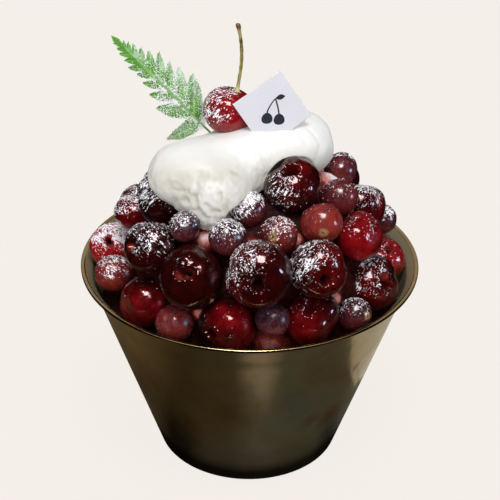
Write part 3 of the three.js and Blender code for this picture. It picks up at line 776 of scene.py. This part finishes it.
def build_fruit(name, materials, seed):
    draw = random.Random(seed)
    look = fruit_look(name, draw)
    centre, radius, axis, seam, pitted = fit_fruit(name)
    fruit_balls.append((centre, radius))
    kind = name.split("_")[0]
    if kind == "cherry":
        polar, _, ways, faces = CHERRY_BALL
        reach, inside, looks = shape_cherry(look, pitted, draw.uniform(0, 6), seed)
    else:
        polar, _, ways, faces = GRAPE_BALL
        reach, inside = grape_reach(polar) + noises(ways, (0.02, 0.9, seed), (0.004, 0.3, seed + 1)), 0
    arms = (ways * (reach * radius)[:, None]) @ basis(axis, seam).T
    if kind == "grape":
        looks = grape_looks(look, arms, radius, seed)
    points, outwards = centre + arms, unit(arms)
    # A brighter side of each fruit: partly riper skin, partly painted light and shade across it.
    *ripe_side, ripeness = look["ripe"]
    looks["tone"] = look["tone"] + 0.18 * layered_noise(arms, 9, 2, seed + 5)
    looks["tone"] += ripeness * (outwards @ from_serving(*ripe_side))
    looks["sugar"] = dust_amount(arms, look["sugar"], look["lit"], look["band"], seed)
    looks["sugar"] *= 1 - smoothstep(0.02, 0.5, inside)
    looks["lean"] = seed % 2
    made = make_piece(name + "_dressed", points, faces, materials[kind], kind + "_skin", name, looks)
    glossy_skins.objects.link(made)
    areas = radius**2 / len(points) * np.maximum(np.sin(polar), 0.02)
    dusted.append((points, outwards, looks["sugar"], areas))


def build_all_fruit():
    materials = {"cherry": cherry_material(), "grape": grape_material()}
    names = sorted(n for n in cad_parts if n.startswith(("cherry_", "grape_")) and n != "cherry_stem")
    for seed, name in enumerate(names, 10):
        build_fruit(name, materials, seed)
    return materials


# ---- Shaved ice ----


def ice_profile():
    """The ice from its top down, as radius and height, and how many points are on its dome and shore."""
    gap = 0.5  # between the ice and the wall
    rises = np.radians(np.linspace(89.2, 0, 120))
    dome = [(DOME_RADIUS * cos(a), DOME_CENTRE[2] + DOME_RADIUS * sin(a)) for a in rises]
    shore_radius = wall_inside(SHORE_HEIGHT) - gap
    shore = [(DOME_RADIUS + s * (shore_radius - DOME_RADIUS), SHORE_HEIGHT + 2 * (1 - s) ** 2)
             for s in np.linspace(0.12, 1, 9)]
    floor = SHEET + 0.4
    under = [(wall_inside(z) - gap, z) for z in (74, 60, 40, 20, floor + 3)]
    ends = [(wall_inside(floor) - 3, floor), (0, floor)]
    top = (0, DOME_CENTRE[2] + DOME_RADIUS)
    return [top] + dome + shore + under + ends, len(dome) + len(shore)


def pale_places():
    """Centres, sizes and strengths of the patches where pale ice shows."""
    draw = random.Random(5)
    limits = [(115, 240), (0, 60), (3, 7), (0.4, 0.9)]
    back = [[draw.uniform(*pair) for pair in limits] for _ in range(BACK_PATCHES)]
    return [(DOME_CENTRE + DOME_RADIUS * from_front(turn, rise), size, pale)
            for turn, rise, size, pale in PALE_PATCHES + back]


def build_ice():
    """The ice: sunk between the fruit, and risen and pale in patches; elsewhere dark red with syrup and
    painted shade.
    """
    sides = 300
    profile, shown = ice_profile()
    points, faces = lathe(profile, sides)
    rows = np.repeat(np.arange(len(profile) - 2), sides)
    free = np.append(rows < shown, [True, False])
    away = unit(points - DOME_CENTRE)
    pale = np.zeros(len(points))
    for centre, size, strength in pale_places():
        pale = np.maximum(pale, strength * bump(lengths(points - centre), size))
    crumbs = noises(points, (1.5, 6.5, 1), (0.9, 2.6, 2), (0.45, 1.2, 3))
    rise = (-ICE_SINK + 0.7 * crumbs + ICE_SWELL * pale) * free
    shore = smoothstep(DOME_CENTRE[2] + 6, DOME_CENTRE[2] - 1, points[:, [2]])
    lift = away * (1 - shore) + np.array([0, 0, 1]) * shore
    points = points + lift * rise[:, None]
    out = lengths(points[:, :2])
    limit = wall_inside(np.minimum(points[:, 2], wall_top)) - 0.3
    points[:, :2] *= np.minimum(1, limit / np.maximum(out, 1e-6))[:, None]
    # Dark red with syrup and painted shade everywhere but the pale patches.
    looks = {"syrup_and_shade": np.clip(0.95 - 0.95 * pale + 0.1 * value_noise(points, 9, 7), 0, 1)}
    make_piece("shaved_ice_dressed", points, faces, ice_material(), "shaved_ice", "shaved_ice", looks)


# ---- Cream ----


def cream_field(points):
    """Below 0 inside the dollop: its lobes run smoothly into each other."""
    total = np.zeros(len(points))
    for lobe in CREAM_LOBES:
        centre, half = np.array(lobe[:3]), np.array(lobe[3:])
        total += np.exp(-(lengths((points - centre) / half) - 1) * half.min() / CREAM_BLEND)
    return -CREAM_BLEND * np.log(total)


def cream_reach(ways):
    """How far the lobes reach from the core along each way, found by halving."""
    near, far = np.zeros(len(ways)), np.full(len(ways), 60.0)
    for _ in range(24):
        middle = (near + far) / 2
        within = cream_field(CREAM_CORE + ways * middle[:, None]) < 0
        near, far = np.where(within, middle, near), np.where(within, far, middle)
    return near


def curdled(points, weight, count, spacing, seed):
    """Rounded lumps, drawn out down the slope: from 0 in the sharp creases between them to 1."""
    draw = np.random.default_rng(seed)
    down = unit(np.array([0.4, 0, 0]) - SERVING_UP)
    points = points - 0.45 * (points @ down)[:, None] * down
    middles = points[draw.choice(len(points), count, p=weight / weight.sum())]
    lumps = KDTree(count)
    for i, middle in enumerate(middles):
        lumps.insert(middle, i)
    lumps.balance()
    warp = np.stack([value_noise(points, spacing, seed + i) for i in range(3)], axis=1)
    away = np.array([lumps.find(p)[2] for p in points + 0.25 * spacing * warp])
    return 1 - np.minimum(1, away / spacing) ** 2


def clear_of_fruit(ways, reach):
    """How far the cream reaches along each way, when it stops just inside a fruit that it meets."""
    hidden = 0.92  # where it stops, as a share of the fruit's radius
    for centre, radius in fruit_balls:
        to_centre = centre - CREAM_CORE
        along = ways @ to_centre
        beside = (hidden * radius) ** 2 - (to_centre @ to_centre - along**2)
        entry = along - np.sqrt(np.maximum(beside, 0))
        reach = np.where((beside > 0) & (along > 0), np.minimum(reach, entry), reach)
    return reach


def cream_curds(points, across, up, ahead):
    """How torn the cream's lower front is, and the curds there, from 0 in their creases to 1."""
    torn = smoothstep(-5, -12, up + 2.5 * value_noise(points, 8, 4)) * (0.35 + 0.65 * bump(across + 13, 12))
    right_edge = 0.5 * bump(across - 1, 6) * smoothstep(2, -4, up)
    torn = np.maximum(torn, right_edge) * smoothstep(-0.1, 0.35, ahead)
    layers = [(0.36, 120, 3.6, 11), (0.36, 480, 1.9, 12), (0.28, 1500, 1.1, 13)]
    return torn, sum(gain * curdled(points, torn, *layer) for gain, *layer in layers)


def cream_creases(points, across, up):
    """The upright folds and the slanting tears, from 0 beside them to 1 in their middles."""
    crease = np.zeros(len(points))
    for x, low, high in CREAM_CREASES:
        fold = bump(across - x - 1.2 * value_noise(points, 4, 17), 0.7)
        crease = np.maximum(crease, fold * smoothstep(low, low + 3, up) * smoothstep(high, high - 3, up))
    for x, y in CREAM_TEARS:
        slant = up - y + 0.35 * (across - x) + 1.2 * value_noise(points, 2.6, 18)
        crease = np.maximum(crease, bump(across - x, 2.2) * bump(slant, 0.9))
    return crease


def build_cream():
    """A spooned dollop: smooth above, torn and curdled at its lower front."""
    ways, faces = ball(np.linspace(0.02, pi - 0.02, 200), 320)[2:]
    points = CREAM_CORE + ways * cream_reach(ways)[:, None]
    across = points[:, 0]
    up = (points - CREAM_CORE) @ SERVING_UP
    ahead = ways @ SERVING
    torn, curds = cream_curds(points, across, up, ahead)
    crease = cream_creases(points, across, up) * smoothstep(0, 0.3, ahead)
    soft = noises(points, (0.7, 13, 14), (0.4, 6, 15), (0.1, 2.4, 16))
    beyond_fold = across + 37.9 - 0.25 * up
    fold = smoothstep(-0.7, 0.7, beyond_fold) * bump(beyond_fold, 7)
    fold = fold * smoothstep(-18, -8, up) * smoothstep(8, 2, up)
    spoon = bump(across + 20, 7) * bump(up + 9, 2.4) * smoothstep(0.2, 0.6, ahead)
    ruffled = smoothstep(3, 12, across) * smoothstep(-0.1, 0.3, ahead)
    ruffle = ruffled * (curdled(points, ruffled, 90, 5.0, 21) - 0.6)
    rear = smoothstep(0.1, -0.4, ahead) * noises(points, (1.2, 9, 19), (0.5, 4, 20))
    push = soft + rear + 1.1 * ruffle + 0.45 * fold - spoon - 0.7 * crease + 3.0 * torn * (curds - 0.6)
    reach = clear_of_fruit(ways, lengths(points - CREAM_CORE) + push)
    points = CREAM_CORE + ways * reach[:, None]
    arms = points - DOME_CENTRE
    sunk = lengths(arms) < DOME_RADIUS - 1
    points[sunk] = DOME_CENTRE + unit(arms[sunk]) * (DOME_RADIUS - 1)
    # Painted shade: darker in the creases between the curds, in the spoon's dent, in the folds and tears, and
    # towards the bottom.
    painted_shade = 0.9 * torn * (0.6 - curds) + 0.25 * spoon + 0.45 * crease + 0.25 * bump(beyond_fold, 0.8) * fold
    looks = {"painted_shade": np.clip(painted_shade + 0.6 * smoothstep(7, -11, up), 0, 1)}
    make_piece("cream_dressed", points, faces, cream_material(), "whipped_cream", "cream", looks)


# ---- Cherry on top ----


def build_top_cherry(material):
    polars = np.concatenate([np.linspace(0.04, 0.8, 24), np.linspace(0.86, pi - 0.05, 44)])
    polar, turn, ways, faces = ball(polars, 96)
    reach, _ = cherry_reach(polar, turn, 0, 0.05, 0)
    reach = (reach + noises(ways, (0.012, 0.9, 70), (0.004, 0.3, 71))) * TOP_CHERRY_RADIUS
    arms = (ways * reach[:, None]) @ basis(TOP_CHERRY_LEAN, np.array([0.6, -0.8, 0])).T
    points, outwards = TOP_CHERRY_CENTRE + arms, unit(arms)
    sugar = dust_amount(arms, 0.35, (-0.8, 0.3), -0.15, 72)
    # Brighter towards one side: riper skin and painted light across the cherry.
    looks = {"tone": 0.72 + 0.2 * (outwards @ from_serving(0.4, -0.1)), "sugar": sugar}
    made = make_piece("top_cherry_dressed", points, faces, material, "whole_cherry_skin", "top_cherry", looks)
    glossy_skins.objects.link(made)
    dusted.append((points, outwards, sugar, np.sin(polar) * TOP_CHERRY_RADIUS**2 / len(points)))


def build_stem():
    """The stalk: thin, a little bent, with a pale foot in the cherry's dimple and a brown knob at its end."""
    path = np.array(STEM_PATH, float)
    low, top = (corner.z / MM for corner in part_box("cherry_stem"))
    low -= 1.5
    heights = np.linspace(low, top - 0.4, 70)
    curve_x, curve_y = (np.polyfit(path[:, 2], path[:, i], 4) for i in (0, 1))
    turn = turns(16)
    rings = []
    for z in reversed(heights):
        knob = 0.4 * bump(top - 1.2 - z, 1.1)
        foot = 0.5 * bump(z - low - 1.0, 1.6)
        radius = STEM_RADIUS + knob + foot + 0.05 * sin(z * 1.7)
        ridged = radius * (1 + 0.07 * np.cos(3 * turn + 0.2 * z))
        rings.append(ring(ridged, turn, z) + [np.polyval(curve_x, z), np.polyval(curve_y, z), 0])
    ends = [rings[0].mean(axis=0) + [0, 0, 0.3], rings[-1].mean(axis=0)]
    points = np.concatenate([*rings, ends])
    height = points[:, 2]
    looks = {"tip": smoothstep(top - 3, top - 1.5, height), "foot": smoothstep(low + 5, low + 2.5, height)}
    faces = ball_faces(len(heights), len(turn))
    make_piece("cherry_stem_dressed", points, faces, stem_material(), "stem", "cherry_stem", looks)


# ---- Card ----

INK_FRONT, INK_BACK = CARD_THICKNESS / 2 + 0.06, CARD_THICKNESS / 2 - 0.05


def on_card(places):
    """Points from places on the card: along both sides from its buried corner, and towards the viewer."""
    x, z, front = np.asarray(places, float).T
    local = np.stack([x, CARD_BOW * 4 * (x / CARD_SIDE - 0.5) ** 2 - front, z], axis=1)
    yaw, lean, turn = (Matrix.Rotation(angle, 3, axis)
                       for angle, axis in ((CARD_YAW, "Z"), (-CARD_LEAN, "X"), (-CARD_TURN, "Y")))
    return local @ np.array(yaw @ lean @ turn).T + np.array(CARD_CORNER)


def card_layers(name, outline, layers, material, node=None):
    """A closed flat solid on the card, in layers: how far each is to the front, and the outline's scale."""
    middle = outline.mean(axis=0)
    rows = [(middle + (outline - middle) * scale, front) for front, scale in layers]
    rows += [(middle[None], layers[0][0]), (middle[None], layers[-1][0])]
    places = np.concatenate([np.column_stack([flat, np.full(len(flat), front)]) for flat, front in rows])
    faces = ball_faces(len(layers), len(outline))
    make_piece(name, on_card(places), faces, material, "card", node, smooth=False)


def card_line(name, left, right, material):
    """A narrow printed line on the card, between its left and right edges."""
    corners = [(*at, front) for a, b in zip(left, right)
               for at, front in ((a, INK_FRONT), (b, INK_FRONT), (b, INK_BACK), (a, INK_BACK))]
    points = on_card(corners)
    ends = [points[:4].mean(axis=0), points[-4:].mean(axis=0)]
    make_piece(name, np.concatenate([points, ends]), ball_faces(len(left), 4), material, "card", smooth=False)


def build_card():
    """A square of stiff paper with slightly rounded edges, bowed across."""
    half = CARD_THICKNESS / 2
    soft = 0.12  # how far the edges are rounded
    side = np.linspace(0, CARD_SIDE, 25)[:-1]
    low, high = np.zeros(len(side)), np.full(len(side), CARD_SIDE)
    outline = np.column_stack([np.concatenate([side, high, CARD_SIDE - side, low]),
                               np.concatenate([low, side, high, CARD_SIDE - side])])
    front = [(half, 1 - 2 * s / CARD_SIDE) for s in np.linspace(CARD_SIDE / 2, soft, 12)[1:]]
    edge = [(half - soft, 1.0), (soft - half, 1.0)]
    back = [(-half, scale) for _, scale in reversed(front)]
    card_layers("card_dressed", outline, front + edge + back, card_material(), "card")


def build_print():
    """A plain pair of cherries on two stalks, in dark ink."""
    ink = print_material()
    ink_layers = [(INK_FRONT, 0.5), (INK_FRONT, 1.0), (INK_BACK, 1.0)]
    across = np.array([cos(CARD_TURN), -sin(CARD_TURN)])
    upright = np.array([sin(CARD_TURN), cos(CARD_TURN)])
    middle = np.array([CARD_SIDE * 0.52, CARD_SIDE * 0.5])

    def place(x, y):
        return middle + np.outer(x, across) + np.outer(y, upright)

    joint = (0.9, 4.6)  # where both stalks and the leaf meet
    turn = turns(40)
    share = np.linspace(0, 1, 14)
    for i, (x, y, radius) in enumerate([(-2.7, -3.6, 2.3), (2.3, -4.4, 2.3)], 1):
        round_edge = x + radius * np.cos(turn), y + radius * (np.sin(turn) - 0.08 * np.cos(2 * turn))
        card_layers(f"card_print_fruit_{i}", place(*round_edge), ink_layers, ink)
        foot = y + 0.9 * radius
        sway, rise = x + (joint[0] - x) * share**1.5, foot + (joint[1] - foot) * share
        card_line(f"card_print_stalk_{i}", place(sway - 0.3, rise), place(sway + 0.3, rise), ink)
    there = np.linspace(0, 1, 12)
    share = np.append(there, there[-2:0:-1])
    bulge = np.append(np.full(12, 1.2), np.full(10, -1.0)) * np.sin(pi * share)
    leaf = place(joint[0] + 4.2 * share, joint[1] + 0.6 * share + bulge)
    card_layers("card_print_leaf", leaf, ink_layers, ink)


# ---- Leaf ----

leaf_along = unit(LEAF_TIP - LEAF_BASE)
leaf_length = float(lengths(LEAF_TIP - LEAF_BASE))
leaf_face = unit(SERVING - np.dot(SERVING, leaf_along) * leaf_along)
leaf_side = np.cross(leaf_along, leaf_face)


def leaflet_edge(leaflets, droop):
    """Half of the blade's edge: foot on the midrib, place along and across, and how far from a vein."""
    edge = [(-LEAF_STALK, -LEAF_STALK, LEAF_MIDRIB / 2, 1.0), (0.0, 0.0, LEAF_MIDRIB / 2, 1.0)]
    edge += [(*point, vein) for point, vein in zip(droop, (1.0, 0.5, 0.0, 0.4, 0.8, 1.0))]
    parting = edge[-1][0]
    following = leaflets[1:] + [(leaf_length, 0, 0)]
    for (foot, reach, share), (next_foot, next_reach, _) in zip(leaflets, following):
        next_parting = (foot + next_foot) / 2
        low = foot - 0.72 * (foot - parting)
        high = foot + 0.45 * (next_parting - foot)
        stops = [(low, 0.8 * reach, 0.55), (foot, reach, 0.0), (high, 0.88 * reach, 0.5)]
        if next_reach > 0:
            stops.append((next_parting, share * min(reach, next_reach), 1.0))
        edge += [(start, start + across * LEAF_SLANT, across, vein) for start, across, vein in stops]
        parting = next_parting
    edge.append((leaf_length, leaf_length, 0.05, 1.0))
    return np.array(edge)


def toothed(edge):
    """The edge in short steps, with a saw of fine teeth that lean towards the tips."""
    step, depth, pitch = 0.3, 0.6, 1.7
    dense = in_steps(edge, step, slice(1, 3))
    run = np.append(0, np.cumsum(lengths(np.diff(dense[:, 1:3], axis=0))))
    grown = np.where(dense[:, 2] > 1.2, depth * ((run / pitch) % 1 - 0.5), 0)
    dense[:, 1] += 0.8 * grown
    dense[:, 2] += grown
    return dense


def on_blade(along, across, front, vein):
    """Points of the leaf: along and across the midrib, towards the viewer, and how far from a vein."""
    arch = LEAF_ARCH * np.sin(pi * np.clip(along / leaf_length, 0, 1))
    wave = 0.5 * np.sin(along * 0.9 + (across > 0)) * np.minimum(1, np.abs(across) / 4)
    ribbing = 0.55 * (vein - 0.5) * np.minimum(1, np.abs(across) / 3)
    depth = arch - LEAF_FOLD * np.abs(across) + wave + ribbing + front
    return LEAF_BASE + along[:, None] * leaf_along + across[:, None] * leaf_side + depth[:, None] * leaf_face


def leaf_looks(side, along, reach, vein, shown, drifts):
    """Veins, the pale underside, sugar and a whitish film on one half of the leaf."""
    left, right = side < 0, side > 0
    middle_heavy = (0.35 + 0.7 * bump(along - 15, 13) + 0.3 * drifts) * smoothstep(48, 34, along)
    rib_lines = bump(reach - 0.95, 0.25) * smoothstep(34, 26, along) * smoothstep(-4, 2, along)
    hanging = left * smoothstep(9, 6, along)
    dusting = (0.38 * middle_heavy + 0.04 * hanging) * smoothstep(0.5, 1.6, reach)
    film = right * np.maximum(bump(along - 24, 12) * smoothstep(3, 7, reach), 0.8 * bump(along - 42, 4))
    veins = 0.5 * smoothstep(0.16, 0.0, vein) * smoothstep(0.2, 1, reach)
    midrib = 0.4 * smoothstep(0.75, 0.35, reach) * smoothstep(44, 30, along)
    return {
        "vein": np.clip(veins + midrib, 0, 1),
        "under": np.maximum(1 - shown, 0.8 * hanging * smoothstep(9.5, 13, reach)),
        "sugar": np.clip(np.maximum(dusting, 0.8 * rib_lines) * shown, 0, 1),
        "film": np.maximum(film, 0.6 * hanging * bump(reach - 8, 3)),
    }


def build_leaf(material):
    """Each half of the blade is a thin sheet: its front from the midrib outwards, its back in again."""
    columns = 19
    shares = np.linspace(0, 1, columns)
    shares = np.append(shares, shares[::-1])
    halves = [("fern_leaf_right", 1, leaflet_edge(LEAF_RIGHT, [])),
              ("fern_leaf_left", -1, leaflet_edge(LEAF_LEFT, LEAF_DROOP))]
    for name, side, edge in halves:
        foot, place, reach, vein = (column[:, None] for column in toothed(edge).T)
        sheet = [foot + (place - foot) * shares, reach * shares, vein, np.repeat([1.0, 0.0], columns)]
        along, reach, vein, shown = (a.ravel() for a in np.broadcast_arrays(*sheet))
        points = on_blade(along, side * reach, LEAF_THICKNESS * shown, vein)
        first = np.arange(2 * columns)
        last = first + len(points) - 2 * columns
        faces = [*grid_faces(len(foot), 2 * columns), first[::-1], last]
        if side > 0:
            faces = [f[::-1] for f in faces]
        looks = leaf_looks(side, along, reach, vein, shown, layered_noise(points, 7, 2, 40))
        make_piece(name, points, faces, material, "leaf", "fern_leaf", looks)
        outwards, areas = np.tile(leaf_face, (len(points), 1)), np.full(len(points), 0.12)
        dusted.append((points, outwards, looks["sugar"], areas))


# ---- Sugar grains ----

GRAIN_COUNT = 9000
GRAIN_HALF_SIZES = (0.1, 0.3)
GRAIN_STRETCH = (0.6, 1.3)  # how much longer or shorter each corner of a grain can be
GRAIN_WANDER = 0.35  # how far a grain lies from a point of the skin under it
GRAIN_SHAPE = unit([(1, 0, 0), (-1, 0, 0), (0, 1, 0), (0, -1, 0), (0, 0, 1), (0, 0, -1)])
GRAIN_FACES = [(0, 2, 4), (2, 1, 4), (1, 3, 4), (3, 0, 4), (2, 0, 5), (1, 2, 5), (3, 1, 5), (0, 3, 5)]


def build_grains():
    """Loose grains of sugar on whatever is dusted, most where most sugar lies."""
    draw = np.random.default_rng(8)
    points, outwards, sugar, areas = (np.concatenate(column) for column in zip(*dusted))
    weight = sugar**1.6 * areas
    chosen = draw.choice(len(points), GRAIN_COUNT, p=weight / weight.sum())
    size = draw.uniform(*GRAIN_HALF_SIZES, GRAIN_COUNT)
    wander = draw.normal(0, GRAIN_WANDER, (GRAIN_COUNT, 3))
    normal = outwards[chosen]
    wander -= (wander * normal).sum(axis=1)[:, None] * normal
    middle = points[chosen] + wander + normal * (0.3 * size)[:, None]
    stretch = draw.uniform(*GRAIN_STRETCH, (GRAIN_COUNT, 6, 1)) * size[:, None, None]
    turned = np.array([np.array(Euler(a).to_matrix()) for a in draw.uniform(0, 6.3, (GRAIN_COUNT, 3))])
    grains = middle[:, None, :] + np.einsum("nij,kj->nki", turned, GRAIN_SHAPE) * stretch
    starts = 6 * np.arange(GRAIN_COUNT)
    faces = (starts[:, None, None] + np.array(GRAIN_FACES)).reshape(-1, 3)
    make_piece("sugar_grains", grains.reshape(-1, 3), faces, grain_material(), "whipped_cream", smooth=False)


# ---- Camera, floor and light ----


def build_camera():
    data = bpy.data.cameras.new("camera")
    data.sensor_width = SENSOR
    data.lens = SENSOR * FOCAL_SHARE
    camera = make_object("camera", data)
    back = np.array([0, -cos(CAMERA_RISE), sin(CAMERA_RISE)])
    camera.location = Vector((CAMERA_AIM + CAMERA_DISTANCE * back) * MM)
    level = Euler((pi / 2 - CAMERA_RISE, 0, 0)).to_matrix()
    camera.rotation_euler = (level @ Matrix.Rotation(CAMERA_ROLL, 3, "Z")).to_euler()
    bpy.context.scene.camera = camera


def make_stage(name, points, faces, material, unseen):
    """A mesh that isn't part of the object, and which the named kinds of ray don't meet."""
    made = make_mesh(name, points, faces, material)
    for kind in unseen:
        setattr(made, "visible_" + kind, False)
    return made


def make_plane(name, height, reach, material, unseen):
    corners = [(x * reach, y * reach, height) for x, y in ((-1, -1), (1, -1), (1, 1), (-1, 1))]
    return make_stage(name, corners, [(0, 1, 2, 3)], material, unseen)


def glowing(paint, base, glow, strength=1.0):
    return paint.dress(base_color=base, roughness=1.0, specular_ior_level=0.0, emission_color=glow,
                       emission_strength=strength)


def build_backdrop():
    """A pale surround beyond the floor, which only the camera sees."""
    _, _, ways, faces = ball(np.linspace(0.1, pi - 0.1, 24), 48)
    material = glowing(Paint("backdrop"), NOTHING, BACKGROUND)
    make_stage("backdrop", ways * SURROUND_RADIUS, faces, material, ("diffuse", "glossy", "shadow"))


def table_color(paint):
    """Brown to the left, grey in front, a painted shadow under and beside the bowl, and a pale cloth at the
    right.
    """
    sideways = paint.node("SeparateXYZ", {"Vector": paint.here})
    wavy = (paint.noise(60) - 0.5) * 0.08
    wood = (sideways + wavy).remap(-0.16, 0.16, kind="LINEAR").ramp(
        (0.1, (0.16, 0.11, 0.055)), (0.2, (0.1, 0.075, 0.04)), (0.3, (0.055, 0.04, 0.021)),
        (0.43, (0.08, 0.066, 0.045)), (0.48, (0.1, 0.09, 0.07)), (0.54, (0.135, 0.118, 0.1)),
        (0.62, (0.1, 0.1, 0.083)), (0.72, (0.1, 0.092, 0.07)))
    away = paint.node("VectorMath", {0: paint.here}, "Value", operation="LENGTH")
    shades = [(0.05, 0.93), (0.1, 0.5), (0.2, 0.3), (0.43, 0.3), (0.83, 0.1)]
    shadow = away.remap(0.04, 0.12, kind="LINEAR").ramp(*((place, (shade,) * 3) for place, shade in shades))
    across = paint.node("VectorMath", {0: paint.here, 1: (0.89, 0.45, 0.0)}, "Value", operation="DOT_PRODUCT")
    cloth = (across + (paint.noise(14) - 0.5) * 0.035).remap(0.071, 0.073)
    return wood.spotted(TABLE_SPOTS).mix(shadow, NOTHING).mix(cloth, (0.41, 0.39, 0.31))


def build_floor():
    """An evenly lit pale floor, and under it a glowing table with painted shadows, whose reflection the metal
    shows.
    """
    material = glowing(Paint("floor"), (0.04, 0.038, 0.036), FLOOR_GLOW)
    make_plane("floor", FLOOR_LEVEL, FLOOR_REACH, material, ("diffuse", "glossy", "shadow"))
    paint = Paint("table")
    material = glowing(paint, NOTHING, table_color(paint), 1.4)
    table = make_plane("table", TABLE_LEVEL, TABLE_REACH, material, ("camera", "shadow"))
    table.light_linking.receiver_collection = metal_pieces


def area_light(name, rise, turn, distance, size, power, color):
    """A square light that looks at the heap."""
    data = bpy.data.lights.new(name, "AREA")
    data.size = size
    data.energy = power
    data.color = color
    lamp = make_object(name, data)
    away = Vector(from_front(turn, rise))
    lamp.location = Vector(LAMPS_AIM) + away * distance
    lamp.rotation_euler = away.to_track_quat("Z", "Y").to_euler()
    return lamp


def build_light():
    """Soft lamps that light without a highlight, and others that show only as reflections."""
    world = bpy.data.worlds.new("world")
    world.use_nodes = True
    world.node_tree.nodes["Background"].inputs["Color"].default_value = (*AMBIENT, 1)
    world.cycles_visibility.glossy = False
    world.cycles_visibility.transmission = False
    scene.world = world
    scene.view_settings.view_transform = "Standard"
    for row in SOFT_LAMPS:
        area_light(*row).visible_glossy = False
    for row in SHINE_LAMPS:
        area_light(*row).visible_diffuse = False
    side = area_light(*SIDE_WINDOW)
    side.visible_diffuse = False
    side.data.use_shadow = False
    side.light_linking.receiver_collection = glossy_skins
    for row in METAL_LAMPS:
        area_light(*row).light_linking.receiver_collection = metal_pieces


# ---- The whole ----

build_camera()
build_backdrop()
build_floor()
build_light()
build_bowl()
build_ice()
fruit_materials = build_all_fruit()
build_cream()
build_top_cherry(fruit_materials["cherry"])
build_stem()
build_card()
build_print()
build_leaf(leaf_material())
build_grains()
